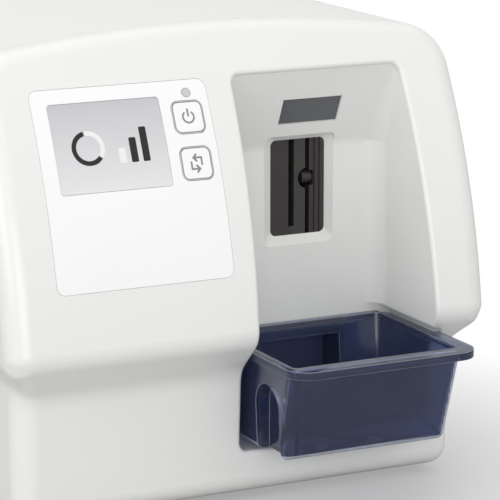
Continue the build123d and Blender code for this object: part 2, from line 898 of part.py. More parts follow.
with BuildPart() as slot_gate:
    gate_left = groove_x + groove_width / 2
    box_between((gate_left, insert_y, flange_low), (flange_right, insert_back, flange_high))
    for share in gate_rib_shares:
        x = gate_left + share * (insert_right - gate_left)
        box_between((x, insert_y - nudge, flange_low - nudge),
                    (x + gate_rib_width, insert_y + gate_rib_width, flange_high + nudge), Mode.SUBTRACT)
    box_between((gate_left - nudge, insert_y - nudge, finger_z - finger_radius - guide_gap),
                (finger_right + guide_gap, insert_back + nudge, finger_z + finger_radius + guide_gap), Mode.SUBTRACT)
    for x, z in flange_screws[2:]:
        rod_between(
            (x, insert_y - nudge, z), (x, insert_back + nudge, z), screw_radius + slip_gap, Mode.SUBTRACT,
        )
save(slot_gate, "slot_gate")

with BuildPart() as bezel_screws:
    for u, v in boss_places:
        back = board_depth + board_thickness
        add(panel_rod(u, v, screw_radius, board_depth - screw_bite + slip_gap, back))
        add(panel_rod(u, v, screw_head_radius, back, back + screw_head_height))
    for x, z in flange_screws:
        rod_between((x, insert_y - pad_bite + slip_gap, z), (x, insert_back, z), screw_radius)
        rod_between((x, insert_back, z), (x, insert_back + screw_head_height, z), screw_head_radius)
save(bezel_screws, "bezel_screws")

# Tinted window and the small board behind it
with BuildPart() as tinted_window:
    add(brow_plate(0, 0, window_recess, window_recess + window_thickness))
save(tinted_window, "tinted_window")

with BuildPart() as window_light_board:
    near = wall + light_board_gap
    add(brow_plate(light_board_margin, 0, near, near + board_thickness))
save(window_light_board, "window_light_board")

# Shutter and its solenoid
shutter_y = insert_back + shutter_gap
shutter_mid_y = shutter_y + shutter_thickness / 2
shutter_mid_z = (shutter_low + shutter_high) / 2
shutter_right = slot_x - slot_width / 2 - shutter_edge_gap
with BuildPart() as slot_shutter:
    box_between(
        (shutter_left, shutter_y, shutter_low),
        (shutter_right, shutter_y + shutter_thickness, shutter_high),
    )
save(slot_shutter, "slot_shutter")

solenoid_right = shutter_left - solenoid_stroke_gap
with BuildPart() as shutter_plunger:
    rod_between((solenoid_right - solenoid_length / 2, shutter_mid_y, shutter_mid_z),
                (shutter_left, shutter_mid_y, shutter_mid_z), plunger_radius)
save(shutter_plunger, "shutter_plunger")

bracket_y = wall_y + bracket_front
with BuildPart() as shutter_solenoid:
    box_between((solenoid_right - solenoid_length, shutter_mid_y - solenoid_side / 4 - slip_gap, shutter_mid_z - solenoid_side / 2),
                (solenoid_right, bracket_y, shutter_mid_z + solenoid_side / 2))
    rod_between((solenoid_right - solenoid_length + wall, shutter_mid_y, shutter_mid_z),
                (solenoid_right + nudge, shutter_mid_y, shutter_mid_z), plunger_radius + slip_gap, Mode.SUBTRACT)
save(shutter_solenoid, "shutter_solenoid")

with BuildPart() as plate_sensor:
    sensor_y = bracket_y + plate_steel
    box_between(
        (slot_x - sensor_half, sensor_y, sensor_low),
        (slot_x + sensor_half, sensor_y + sensor_length, sensor_high),
    )
    box_between((slot_x - sensor_slot / 2, sensor_y - nudge, sensor_low - nudge),
                (slot_x + sensor_slot / 2, sensor_y + sensor_length + nudge, sensor_roof), Mode.SUBTRACT)
save(plate_sensor, "plate_sensor")

# Chassis on its posts
post_places = [
    (x, y)
    for x in (chassis_left + post_inset, chassis_right - post_inset)
    for y in (wall_y + chassis_front + post_inset, wall_y + chassis_rear - post_inset)
]
pan_floor_z = base_z + wall
with BuildPart() as chassis_plate:
    box_between(
        (chassis_left, wall_y + chassis_front, chassis_z),
        (chassis_right, wall_y + chassis_rear, chassis_top),
    )
    box_between((drop_left, wall_y + drop_front, chassis_z - nudge), (drop_right, wall_y + drop_rear, chassis_top + nudge),
                Mode.SUBTRACT)
    for x, y in post_places:
        rod_between(
            (x, y, chassis_z - nudge), (x, y, chassis_top + nudge), screw_radius + slip_gap, Mode.SUBTRACT,
        )
save(chassis_plate, "chassis_plate")

with BuildPart() as chassis_posts:
    for x, y in post_places:
        rod_between((x, y, pan_floor_z), (x, y, chassis_z), post_radius)
        rod_between(
            (x, y, chassis_z - screw_bite), (x, y, chassis_z + nudge), screw_radius + slip_gap,
            Mode.SUBTRACT,
        )
save(chassis_posts, "chassis_posts")

# Brackets, rods, lead screw and motor
rod_heights = (rod_low_z, rod_high_z)
with BuildPart() as front_bracket:
    box_between(
        (bracket_left, bracket_y, chassis_top), (chassis_right, bracket_y + plate_steel, bracket_top),
    )
    for left, right in ((bracket_left, erase_x - sheet), (rod_x + screw_bite, chassis_right - foot_flange)):
        box_between(
            (left, bracket_y, chassis_top), (right, bracket_y + foot_flange, chassis_top + plate_steel),
        )
    cut_y = bracket_y - nudge
    far_y = bracket_y + plate_steel + nudge
    box_between((slot_x - plate_window_half, cut_y, plate_window_low), (slot_x + plate_window_half, far_y, plate_window_high),
                Mode.SUBTRACT)
    box_between((slot_x, cut_y, finger_z - finger_window_half), (finger_window_right, far_y, finger_z + finger_window_half),
                Mode.SUBTRACT)
    for z in rod_heights:
        rod_between((rod_x, cut_y, z), (rod_x, far_y, z), rod_radius, Mode.SUBTRACT)
    rod_between((screw_x, cut_y, screw_z), (screw_x, far_y, screw_z), bearing_radius, Mode.SUBTRACT)
save(front_bracket, "front_bracket")

rear_bracket_front = wall_y + rear_bracket_y
motor_y = rear_bracket_front + plate_steel
motor_bolts = [(screw_x + a * motor_bolt, screw_z + b * motor_bolt) for a in (-1, 1) for b in (-1, 1)]
with BuildPart() as rear_bracket:
    box_between(
        (rear_bracket_left, rear_bracket_front, chassis_top), (rear_bracket_right, motor_y, bracket_top),
    )
    box_between((rear_bracket_left, rear_bracket_front, chassis_top),
                (chassis_right, motor_y + foot_flange, chassis_top + plate_steel))
    for z in rod_heights:
        rod_between(
            (rod_x, rear_bracket_front - nudge, z), (rod_x, motor_y + nudge, z), rod_radius, Mode.SUBTRACT,
        )
    rod_between((screw_x, rear_bracket_front - nudge, screw_z), (screw_x, motor_y + nudge, screw_z), bearing_radius,
                Mode.SUBTRACT)
    for x, z in motor_bolts:
        rod_between(
            (x, rear_bracket_front - nudge, z), (x, motor_y + nudge, z), screw_radius + slip_gap,
            Mode.SUBTRACT,
        )
save(rear_bracket, "rear_bracket")

with BuildPart() as guide_rods:
    for z in rod_heights:
        rod_between((rod_x, bracket_y, z), (rod_x, motor_y - sheet, z), rod_radius)
save(guide_rods, "guide_rods")

with BuildPart() as screw_bearing:
    rod_between((screw_x, bracket_y, screw_z), (screw_x, bracket_y + plate_steel, screw_z), bearing_radius)
    rod_between((screw_x, bracket_y + plate_steel, screw_z),
                (screw_x, bracket_y + plate_steel + bearing_flange_thickness, screw_z), bearing_radius + bearing_flange)
    rod_between((screw_x, bracket_y - overrun, screw_z), (screw_x, bracket_y + overrun, screw_z), screw_shaft + slip_gap,
                Mode.SUBTRACT)
save(screw_bearing, "screw_bearing")

with BuildPart() as lead_screw:
    rod_between((screw_x, wall_y + screw_start, screw_z), (screw_x, motor_y + motor_shaft_bore - guide_gap, screw_z),
                screw_shaft)
save(lead_screw, "lead_screw")

with BuildPart() as stepper_motor:
    with BuildSketch(Plane.XZ.offset(-motor_y)) as body:
        with Locations((screw_x, screw_z)):
            RectangleRounded(motor_side, motor_side, motor_corner)
    extrude(body.sketch, amount=-motor_length)
    rod_between((screw_x, motor_y - nudge, screw_z), (screw_x, motor_y + motor_shaft_bore, screw_z),
                screw_shaft + slip_gap, Mode.SUBTRACT)
    for x, z in motor_bolts:
        rod_between(
            (x, motor_y - nudge, z), (x, motor_y + screw_bite, z), screw_radius + slip_gap, Mode.SUBTRACT,
        )
save(stepper_motor, "stepper_motor")

# Carriage with its bushes, nut and magnet finger
carriage_y = wall_y + carriage_front
carriage_back = carriage_y + carriage_length
bush_radius = rod_radius + slip_gap + bush_wall
nut_radius = screw_shaft + slip_gap + nut_wall
with BuildPart() as plate_carriage:
    box_between((carriage_left, carriage_y, carriage_low), (carriage_right, carriage_back, carriage_high))
    for z in rod_heights:
        rod_between(
            (rod_x, carriage_y - nudge, z), (rod_x, carriage_back + nudge, z), bush_radius, Mode.SUBTRACT,
        )
    rod_between(
        (screw_x, carriage_y - nudge, screw_z), (screw_x, carriage_back + nudge, screw_z), nut_radius,
        Mode.SUBTRACT,
    )
save(plate_carriage, "plate_carriage")

with BuildPart() as carriage_bushes:
    for z in rod_heights:
        for y in (carriage_y, carriage_back - bush_length):
            rod_between((rod_x, y, z), (rod_x, y + bush_length, z), bush_radius)
            rod_between(
                (rod_x, y - nudge, z), (rod_x, y + bush_length + nudge, z), rod_radius + slip_gap,
                Mode.SUBTRACT,
            )
save(carriage_bushes, "carriage_bushes")

with BuildPart() as carriage_nut:
    rod_between((screw_x, carriage_y, screw_z), (screw_x, carriage_back, screw_z), nut_radius)
    rod_between((screw_x, carriage_back, screw_z), (screw_x, carriage_back + nut_flange_thickness, screw_z),
                nut_radius + nut_flange)
    rod_between((screw_x, carriage_y - overrun, screw_z), (screw_x, carriage_back + overrun, screw_z),
                screw_shaft + slip_gap, Mode.SUBTRACT)
save(carriage_nut, "carriage_nut")

with BuildPart() as magnet_finger:
    finger_low = finger_z - finger_radius
    finger_high = finger_z + finger_radius
    box_between(
        (finger_nose_x, wall_y + finger_front, finger_low), (finger_right, wall_y + arm_rear, finger_high),
    )
    fillet(magnet_finger.edges().group_by(Axis.Y)[0].filter_by(Axis.X), finger_radius - nudge)
    box_between(
        (finger_right - nudge, wall_y + arm_front, finger_low),
        (carriage_left, wall_y + arm_rear, finger_high),
    )
    box_between((magnet_face_x + magnet_thickness, wall_y + magnet_y - magnet_pad_half, finger_low),
                (finger_nose_x + nudge, wall_y + magnet_y + magnet_pad_half, finger_high))
save(magnet_finger, "magnet_finger")

with BuildPart() as finger_magnet:
    rod_between((magnet_face_x, wall_y + magnet_y, finger_z), (magnet_face_x + magnet_thickness, wall_y + magnet_y, finger_z),
                magnet_radius)
save(finger_magnet, "finger_magnet")

with BuildPart() as plate_rail:
    box_between(
        (slot_x - rail_half, wall_y + rail_front, chassis_top),
        (slot_x + rail_half, wall_y + rail_rear, rail_top),
    )
    box_between((slot_x - rail_groove / 2, wall_y + rail_front - nudge, slot_low - guide_gap),
                (slot_x + rail_groove / 2, wall_y + rail_rear + nudge, rail_top + nudge), Mode.SUBTRACT)
save(plate_rail, "plate_rail")

# Optics: laser above, spinning mirror below it, light guide beside the plate
mirror_y = wall_y + mirror_front
optics_y = wall_y + optics_bracket_y
scan_motor_y = optics_y + plate_steel
laser_x = mirror_x + mirror_flat * math.cos(math.radians(beam_turn))
laser_y = mirror_y + mirror_thickness / 2
with BuildPart() as optics_bracket:
    box_between(
        (optics_bracket_left, optics_y, chassis_top),
        (optics_bracket_right, scan_motor_y, optics_bracket_top),
    )
    box_between((optics_bracket_left, optics_y, chassis_top),
                (detector_x - detector_side / 2 - guide_gap, scan_motor_y + foot_flange, chassis_top + plate_steel))
    rod_between(
        (mirror_x, optics_y - nudge, mirror_z), (mirror_x, scan_motor_y + nudge, mirror_z), spindle_hole,
        Mode.SUBTRACT,
    )
save(optics_bracket, "optics_bracket")

with BuildPart() as scan_mirror:
    with BuildSketch(Plane.XZ.offset(-mirror_y)) as facets:
        with Locations((mirror_x, mirror_z)):
            RegularPolygon(mirror_flat, mirror_sides, major_radius=False, rotation=mirror_turn)
            Circle(spindle_radius, mode=Mode.SUBTRACT)
    extrude(facets.sketch, amount=-mirror_thickness)
save(scan_mirror, "scan_mirror")

with BuildPart() as mirror_spindle:
    rod_between(
        (mirror_x, wall_y + spindle_front, mirror_z), (mirror_x, scan_motor_y + spindle_bite, mirror_z),
        spindle_radius,
    )
save(mirror_spindle, "mirror_spindle")

with BuildPart() as mirror_motor:
    with BuildSketch(Plane.XZ.offset(-scan_motor_y)) as body:
        with Locations((mirror_x, mirror_z)):
            RectangleRounded(scan_motor_side, scan_motor_side, motor_corner)
    extrude(body.sketch, amount=-scan_motor_length)
    rod_between((mirror_x, scan_motor_y - nudge, mirror_z), (mirror_x, scan_motor_y + spindle_bite + guide_gap, mirror_z),
                spindle_radius + slip_gap, Mode.SUBTRACT)
save(mirror_motor, "mirror_motor")

with BuildPart() as laser_module:
    rod_between((laser_x, laser_y, laser_low), (laser_x, laser_y, laser_low + laser_length), laser_radius)
    rod_between(
        (laser_x, laser_y, laser_low - nudge), (laser_x, laser_y, laser_low + screw_bite), spindle_radius,
        Mode.SUBTRACT,
    )
save(laser_module, "laser_module")

with BuildPart() as laser_clamp:
    reach = laser_radius + clamp_margin
    box_between(
        (laser_x - reach, laser_y - reach, clamp_low),
        (laser_x + reach, optics_y, clamp_low + clamp_height),
    )
    rod_between((laser_x, laser_y, clamp_low - nudge), (laser_x, laser_y, clamp_low + clamp_height + nudge), laser_radius,
                Mode.SUBTRACT)
save(laser_clamp, "laser_clamp")

detector_mid_y = wall_y + detector_y
detector_half = detector_side / 2
with BuildPart() as detector_housing:
    box_between((detector_x - detector_half, detector_mid_y - detector_half, chassis_top),
                (detector_x + detector_half, detector_mid_y + detector_half, chassis_top + detector_height))
    hollow = detector_half - detector_wall
    box_between((detector_x - hollow, detector_mid_y - hollow, chassis_top + detector_wall),
                (detector_x + hollow, detector_mid_y + hollow, chassis_top + detector_height + nudge), Mode.SUBTRACT)
    box_between((detector_x + hollow - nudge, wall_y + detector_window_front, detector_window_low),
                (detector_x + detector_half + nudge, wall_y + detector_window_rear, detector_window_high), Mode.SUBTRACT)
save(detector_housing, "detector_housing")

with BuildPart() as detector_tube:
    tube_z = chassis_top + detector_wall
    rod_between(
        (detector_x, detector_mid_y, tube_z), (detector_x, detector_mid_y, tube_z + tube_height),
        tube_radius,
    )
save(detector_tube, "detector_tube")

with BuildPart() as detector_board:
    lid_z = chassis_top + detector_height
    box_between((detector_x - detector_half, detector_mid_y - detector_half, lid_z),
                (detector_x + detector_half, detector_mid_y + detector_half, lid_z + board_thickness))
save(detector_board, "detector_board")

with BuildPart() as light_guide:
    with BuildSketch(Plane.XY.offset(chassis_top)) as wedge:
        with BuildLine():
            Polyline(
                (guide_tip, wall_y + guide_front), (guide_tip, wall_y + guide_front + guide_mouth),
                (detector_x + detector_half, wall_y + guide_back_rear), (
                    detector_x + detector_half, wall_y + guide_back_front,
                ),
                (guide_tip, wall_y + guide_front),
            )
        make_face()
    extrude(wedge.sketch, amount=guide_height)
save(light_guide, "light_guide")

# Erase lamps across the plate's path
with BuildPart() as erase_lamp_board:
    box_between(
        (erase_x, wall_y + erase_front, chassis_top),
        (erase_x + board_thickness, wall_y + erase_rear, erase_high),
    )
save(erase_lamp_board, "erase_lamp_board")

with BuildPart() as erase_lamps:
    lamp_mid_y = wall_y + (erase_front + erase_rear) / 2
    for column in range(lamp_columns):
        y = lamp_mid_y + (column - (lamp_columns - 1) / 2) * lamp_pitch
        for row in range(lamp_rows):
            z = slot_mid + (row - (lamp_rows - 1) / 2) * lamp_pitch
            box_between((erase_x + board_thickness, y - lamp_side / 2, z - lamp_side / 2),
                        (erase_x + board_thickness + lamp_depth, y + lamp_side / 2, z + lamp_side / 2))
save(erase_lamps, "erase_lamps")


def chute_profile(inset):
    """The chute's side view; the inner one runs out through the exit and the top."""
    run_out = overrun if inset else 0
    front = wall_y + wall + seat_gap - run_out
    top = chassis_z + run_out
    with BuildSketch(Plane.YZ.offset(slot_x)) as side:
        with BuildLine():
            Polyline(
                (front, chute_exit_low), (
                    wall_y + chute_knee, chute_exit_low,
                ), (wall_y + chute_back, chute_back_low),
                (wall_y + chute_back, top), (wall_y + chute_roof, top), (
                    wall_y + chute_roof, chute_exit_high,
                ),
                (front, chute_exit_high), (front, chute_exit_low),
            )
        make_face()
        if inset:
            offset(amount=-inset, kind=Kind.INTERSECTION)
    return side.sketch


# Chute with its light flap
with BuildPart() as drop_chute:
    extrude(chute_profile(0), amount=chute_half, both=True)
    extrude(chute_profile(chute_wall), amount=chute_half - chute_wall, both=True, mode=Mode.SUBTRACT)
    rod_between((slot_x - chute_half - nudge, wall_y + flap_y, flap_z), (slot_x + chute_half + nudge, wall_y + flap_y, flap_z),
                flap_pin_radius, Mode.SUBTRACT)
save(drop_chute, "drop_chute")

with BuildPart() as flap_pin:
    rod_between(
        (slot_x - chute_half, wall_y + flap_y, flap_z), (slot_x + chute_half, wall_y + flap_y, flap_z),
        flap_pin_radius,
    )
save(flap_pin, "flap_pin")

with BuildPart() as drop_flap:
    flap_half = chute_half - chute_wall - flap_side_gap
    rod_between(
        (slot_x - flap_half, wall_y + flap_y, flap_z), (slot_x + flap_half, wall_y + flap_y, flap_z),
        flap_barrel,
    )
    box_between((slot_x - flap_half, wall_y + flap_y - flap_thickness / 2, flap_z - flap_length),
                (slot_x + flap_half, wall_y + flap_y + flap_thickness / 2, flap_z))
    rod_between((slot_x - chute_half, wall_y + flap_y, flap_z), (slot_x + chute_half, wall_y + flap_y, flap_z),
                flap_pin_radius + slip_gap, Mode.SUBTRACT)
save(drop_flap, "drop_flap")

# Collection tray
lip_z = tray_top - lip_thickness
wall_left = tray_left + lip_left
wall_right = tray_right - lip_right
wall_front = front_y + lip_front
wall_rear = wall_y - tray_rear - lip_rear


def tray_body(inset, low_z, top_z):
    """The tray's tapered body, or its hollow when inset by the skin."""
    with BuildPart() as body:
        with BuildSketch(Plane.XY.offset(top_z)) as mouth:
            with Locations(((wall_left + wall_right) / 2, (wall_front + wall_rear) / 2)):
                RectangleRounded(
                    wall_right - wall_left - 2 * inset, wall_rear - wall_front - 2 * inset,
                    tray_corner - inset,
                )
        low_left = wall_left + tray_lean_side
        low_right = wall_right - tray_lean_side
        low_front = wall_front + tray_lean_front
        low_rear = wall_rear - tray_lean_rear
        with BuildSketch(Plane.XY.offset(low_z)) as floor:
            with Locations(((low_left + low_right) / 2, (low_front + low_rear) / 2)):
                RectangleRounded(
                    low_right - low_left - 2 * inset, low_rear - low_front - 2 * inset,
                    tray_low_corner - inset,
                )
        loft([floor.sketch, mouth.sketch])
    return body.part


def arch_prism(grow, deep):
    """The finger recess in the tray's left wall."""
    half = arch_half + grow
    spring_z = arch_top - arch_half
    with BuildPart() as arch:
        with BuildSketch(Plane.YZ.offset(wall_left - overrun)) as side:
            with Locations((wall_y - arch_y, (spring_z + base_z) / 2)):
                Rectangle(2 * half, spring_z - base_z)
            with Locations((wall_y - arch_y, spring_z)):
                Circle(half)
        extrude(side.sketch, amount=overrun + deep)
    return arch.part


with BuildPart() as collection_tray:
    add(tray_body(0, tray_low, tray_top))
    fillet(collection_tray.edges().group_by(Axis.Z)[0], tray_base_edge)
    with BuildSketch(Plane.XY.offset(lip_z)) as lip:
        with Locations(((tray_left + tray_right) / 2, (front_y + wall_y - tray_rear) / 2)):
            Rectangle(tray_right - tray_left, tray_reach - tray_rear)
        fillet(lip.vertices().group_by(Axis.Y)[0], tray_lip_corner)
        fillet(lip.vertices().group_by(Axis.Y)[-1], tray_rear_corner)
    extrude(lip.sketch, amount=lip_thickness)
    add(arch_prism(0, lip_left + arch_depth), mode=Mode.SUBTRACT)
    hollow = tray_body(tray_skin, tray_low + tray_skin, tray_top + nudge)
    add(hollow - arch_prism(tray_skin, lip_left + arch_depth + tray_skin), mode=Mode.SUBTRACT)
    box_between((slot_x - tray_window_half, wall_rear - tray_lean_rear - 2 * tray_skin, tray_window_low),
                (slot_x + tray_window_half, wall_y, tray_window_high), Mode.SUBTRACT)
    with BuildSketch(Plane.XY.offset(tray_top)) as line:
        add(offset(lip.sketch, amount=-groove_inset).moved(Location((0, 0, lip_thickness))))
        add(
            offset(lip.sketch, amount=-groove_inset - tray_groove).moved(Location((0, 0, lip_thickness))),
            mode=Mode.SUBTRACT,
        )
    extrude(line.sketch, amount=-tray_groove_depth, mode=Mode.SUBTRACT)
    box_between((tray_right - lip_step_width, wall_y - lip_step_y, tray_top - lip_step),
                (tray_right + nudge, wall_y - tray_rear + nudge, tray_top + nudge), Mode.SUBTRACT)
    for n in range(dome_count):
        x = (wall_left + wall_right) / 2 + dome_shift + (n - (dome_count - 1) / 2) * dome_pitch
        with Locations((x, wall_y - dome_reach, tray_low + tray_skin - nudge)):
            Cone(dome_radius, dome_radius / 2, dome_height, align=(Align.CENTER, Align.CENTER, Align.MIN))
save(collection_tray, "collection_tray")

# Rear housing: cover and pan from one ring, closed by the rear panel
panel_back_y = rear_y - panel_recess
panel_front_y = panel_back_y - wall
cover_screw_x = half_width - panel_screw_inset
pan_screw_x = base_half - panel_screw_inset
rear_screws = [(x, panel_screw_high) for x in (-cover_screw_x, cover_screw_x)]
rear_screws += [(x, panel_screw_low) for x in (-pan_screw_x, pan_screw_x)]
rear_screw_deep = panel_front_y - 2 * screw_bite
base_screws = [(x, seam_y + base_boss / 2) for x in (-base_boss_x, base_boss_x)]

with BuildPart() as rear_ring:
    extrude(body_outline(0).moved(Location((0, rear_y, 0))), amount=rear_y - cover_y)
    fillet(rear_ring.edges().group_by(Axis.Y)[-1], rear_edge)
    extrude(body_outline(wall, pan_inner_corner), amount=depth, both=True, mode=Mode.SUBTRACT)


def rear_boss(x, z, shell_x):
    """A screw boss from the side wall, in front of the rear panel."""
    toward = math.copysign(panel_boss / 2, -x)
    inner, outer = sorted((x + toward, math.copysign(shell_x - wall / 2, x)))
    box_between(
        (inner, panel_front_y - panel_boss_length, z - panel_boss / 2),
        (outer, panel_front_y, z + panel_boss / 2),
    )
    rod_between((x, rear_screw_deep, z), (x, rear_y, z), screw_radius + slip_gap, Mode.SUBTRACT)


with BuildPart() as top_cover:
    add(rear_ring.part)
    box_between((-width, cover_y - overrun, -overrun), (width, rear_y + overrun, split_z), Mode.SUBTRACT)
    for x, z in rear_screws[:2]:
        rear_boss(x, z, half_width)
save(top_cover, "top_cover")

with BuildPart() as base_pan:
    add(rear_ring.part)
    box_between(
        (-width, cover_y - overrun, split_z - seam_gap), (width, rear_y + overrun, crown_z + overrun),
        Mode.SUBTRACT,
    )
    for x, z in rear_screws[2:]:
        rear_boss(x, z, base_half)
    lip_start = cover_y + 2 * ring_reach
    for side in (-1, 1):
        for reach, low, high in ((wall - ring_bite, split_z - 2 * ring_reach, split_z - ring_reach),
                                 (wall + seat_gap, split_z - ring_reach, split_z + ring_reach)):
            near, far = sorted(
                (side * (base_half - wall - seat_gap - ring_wall), side * (base_half - reach))
            )
            box_between((near, lip_start, low), (far, panel_front_y - panel_boss_length - guide_gap, high))
    for x, y in base_screws:
        rod_between(
            (x, y, base_z - nudge), (x, y, pan_floor_z + nudge), screw_radius + slip_gap, Mode.SUBTRACT,
        )
    for x in (-foot_x, foot_x):
        rod_between(
            (x, rear_foot_y, 0), (x, rear_foot_y, base_z + 2 * wall), foot_peg + slip_gap, Mode.SUBTRACT,
        )
    for n in range(pan_vent_count):
        y = rear_foot_y - (n + 1) * pan_vent_pitch
        box_between((-pan_vent_length / 2, y - pan_vent_width / 2, 0), (pan_vent_length / 2, y + pan_vent_width / 2, pan_floor_z + nudge),
                    Mode.SUBTRACT)
save(base_pan, "base_pan")

# Electronics on the pan, with their ports through the rear panel
main_z = pan_floor_z + main_lift
board_top = main_z + board_thickness
main_front_y = wall_y + main_front
main_rear_y = panel_front_y - main_rear_gap
port_y = panel_back_y - guide_gap
main_holes = [
    (x, y)
    for x in (main_left + boss_inset, main_right - boss_inset)
    for y in (main_front_y + boss_inset, main_rear_y - jack_depth - boss_inset)
]

with BuildPart() as main_board:
    box_between((main_left, main_front_y, main_z), (main_right, main_rear_y, board_top))
    for x_share, y_share, across_share, along_share in chip_shares:
        x = main_left + (main_right - main_left) * x_share
        y = main_front_y + (main_rear_y - main_front_y) * y_share
        across = (main_right - main_left) * across_share / 2
        along = (main_rear_y - main_front_y) * along_share / 2
        box_between((x - across, y - along, board_top), (x + across, y + along, board_top + chip_height))
    box_between((panel_x - ribbon_width / 2, wall_y + ribbon_drop - screw_bite / 2, board_top),
                (panel_x + ribbon_width / 2, wall_y + ribbon_drop + screw_bite / 2, board_top + chip_height))
    for x, y in main_holes:
        rod_between(
            (x, y, main_z - nudge), (x, y, board_top + nudge), screw_radius + slip_gap, Mode.SUBTRACT,
        )
save(main_board, "main_board")

with BuildPart() as board_standoffs:
    for x, y in main_holes:
        rod_between((x, y, pan_floor_z), (x, y, main_z), standoff_radius)
        rod_between(
            (x, y, main_z - screw_bite), (x, y, main_z + nudge), screw_radius + slip_gap, Mode.SUBTRACT,
        )
save(board_standoffs, "board_standoffs")

with BuildPart() as chassis_screws:
    for x, y in post_places:
        rod_between((x, y, chassis_z - screw_bite + guide_gap), (x, y, chassis_top), screw_radius)
        rod_between((x, y, chassis_top), (x, y, chassis_top + screw_head_height), screw_head_radius)
    for x, z in motor_bolts:
        rod_between((x, rear_bracket_front, z), (x, motor_y + screw_bite - guide_gap, z), screw_radius)
        rod_between(
            (x, rear_bracket_front - screw_head_height, z), (x, rear_bracket_front, z), screw_head_radius,
        )
    for x, y in main_holes:
        rod_between((x, y, main_z - screw_bite + guide_gap), (x, y, board_top), screw_radius)
        rod_between((x, y, board_top), (x, y, board_top + screw_head_height), screw_head_radius)
save(chassis_screws, "chassis_screws")

with BuildPart() as dc_inlet:
    dc_mid_z = board_top + dc_height / 2
    box_between(
        (dc_x - dc_width / 2, port_y - jack_depth, board_top),
        (dc_x + dc_width / 2, port_y, board_top + dc_height),
    )
    rod_between(
        (dc_x, port_y - jack_depth + screw_bite, dc_mid_z), (dc_x, port_y + nudge, dc_mid_z), socket_radius,
        Mode.SUBTRACT,
    )
    rod_between(
        (dc_x, port_y - jack_depth + screw_bite - nudge, dc_mid_z), (dc_x, port_y - guide_gap, dc_mid_z),
        pin_radius,
    )
save(dc_inlet, "dc_inlet")

with BuildPart() as network_jack:
    box_between(
        (jack_x - jack_width / 2, port_y - jack_depth, board_top),
        (jack_x + jack_width / 2, port_y, board_top + jack_height),
    )
    box_between((jack_x - jack_width / 2 + jack_wall, port_y - jack_depth + screw_bite, board_top + jack_wall),
                (jack_x + jack_width / 2 - jack_wall, port_y + nudge, board_top + jack_height - jack_wall), Mode.SUBTRACT)
save(network_jack, "network_jack")

with BuildPart() as rear_panel:
    panel_face = body_outline(wall + seat_gap, pan_inner_corner)
    extrude(panel_face.moved(Location((0, panel_back_y, 0))), amount=wall)
    for n in range(vent_count):
        x = (n - (vent_count - 1) / 2) * vent_pitch
        box_between((x - vent_width / 2, panel_front_y - nudge, vent_low), (x + vent_width / 2, panel_back_y + nudge, vent_low + vent_height),
                    Mode.SUBTRACT)
    for x, z in rear_screws:
        rod_between(
            (x, panel_front_y - nudge, z), (x, panel_back_y + nudge, z), screw_radius + slip_gap,
            Mode.SUBTRACT,
        )
    for x, across, high in ((dc_x, dc_width, dc_height), (jack_x, jack_width, jack_height)):
        box_between((x - across / 2 - port_gap, panel_front_y - nudge, board_top - port_gap),
                    (x + across / 2 + port_gap, panel_back_y + nudge, board_top + high + port_gap), Mode.SUBTRACT)
save(rear_panel, "rear_panel")

with BuildPart() as housing_screws:
    for x, z in rear_screws:
        rod_between((x, rear_screw_deep + guide_gap, z), (x, panel_back_y, z), screw_radius)
        rod_between((x, panel_back_y, z), (x, panel_back_y + screw_head_height, z), screw_head_radius)
    for x, y in base_screws:
        rod_between((x, y, base_z), (x, y, pan_floor_z + screw_bite), screw_radius)
        rod_between((x, y, base_z - screw_head_height), (x, y, base_z), screw_head_radius)
save(housing_screws, "housing_screws")

with BuildPart() as rubber_feet:
    for x in (-foot_x, foot_x):
        for y in (front_foot_y, rear_foot_y):
            rod_between((x, y, 0), (x, y, base_z), foot_radius)
    fillet(rubber_feet.edges().group_by(Axis.Z)[0], foot_edge)
    for x in (-foot_x, foot_x):
        for y in (front_foot_y, rear_foot_y):
            rod_between((x, y, base_z), (x, y, base_z + foot_peg_length), foot_peg)
save(rubber_feet, "rubber_feet")

# Ribbon from the panel's board down to the main board
header_depth = board_depth + board_thickness + chip_height + ribbon_thickness
header_v = board_low + boss_inset
header_y = panel.origin.Y + header_v * math.sin(tilt) + header_depth * math.cos(tilt)
header_z = panel.origin.Z + header_v * math.cos(tilt) - header_depth * math.sin(tilt)
bend_y = wall_y + ribbon_drop
bend_z = header_z - (bend_y - header_y) * math.tan(tilt)
with BuildPart() as panel_ribbon:
    with BuildSketch(Plane.YZ.offset(panel_x - ribbon_width / 2)) as strip:
        with BuildLine():
            FilletPolyline(
                (header_y, header_z), (bend_y, bend_z), (bend_y, board_top + chip_height),
                radius=ribbon_bend,
            )
        trace(line_width=ribbon_thickness)
    extrude(strip.sketch, amount=ribbon_width)
save(panel_ribbon, "panel_ribbon")
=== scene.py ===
"""Looks for a desktop phosphor plate scanner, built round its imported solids."""

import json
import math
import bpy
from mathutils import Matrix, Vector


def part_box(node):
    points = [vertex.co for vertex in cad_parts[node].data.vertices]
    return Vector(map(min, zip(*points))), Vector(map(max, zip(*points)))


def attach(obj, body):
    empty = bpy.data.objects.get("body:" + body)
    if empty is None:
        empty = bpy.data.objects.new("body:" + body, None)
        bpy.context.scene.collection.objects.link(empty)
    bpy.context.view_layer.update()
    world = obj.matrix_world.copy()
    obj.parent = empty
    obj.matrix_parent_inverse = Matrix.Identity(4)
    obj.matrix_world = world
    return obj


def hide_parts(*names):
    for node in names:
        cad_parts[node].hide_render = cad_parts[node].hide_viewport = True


bl_info = {
    "name": "Plate Scanner Finishes",
    "version": (1, 0, 0),
    "blender": (4, 5, 0),
    "location": "3D View > Sidebar > Scanner",
    "description": "Finishes, printed marks and the studio for a desktop plate scanner",
    "category": "Object",
}

import bmesh
import bpy
from bpy.props import FloatProperty, FloatVectorProperty, IntProperty, PointerProperty
from bpy.types import Operator, Panel, PropertyGroup
from mathutils import Matrix, Vector

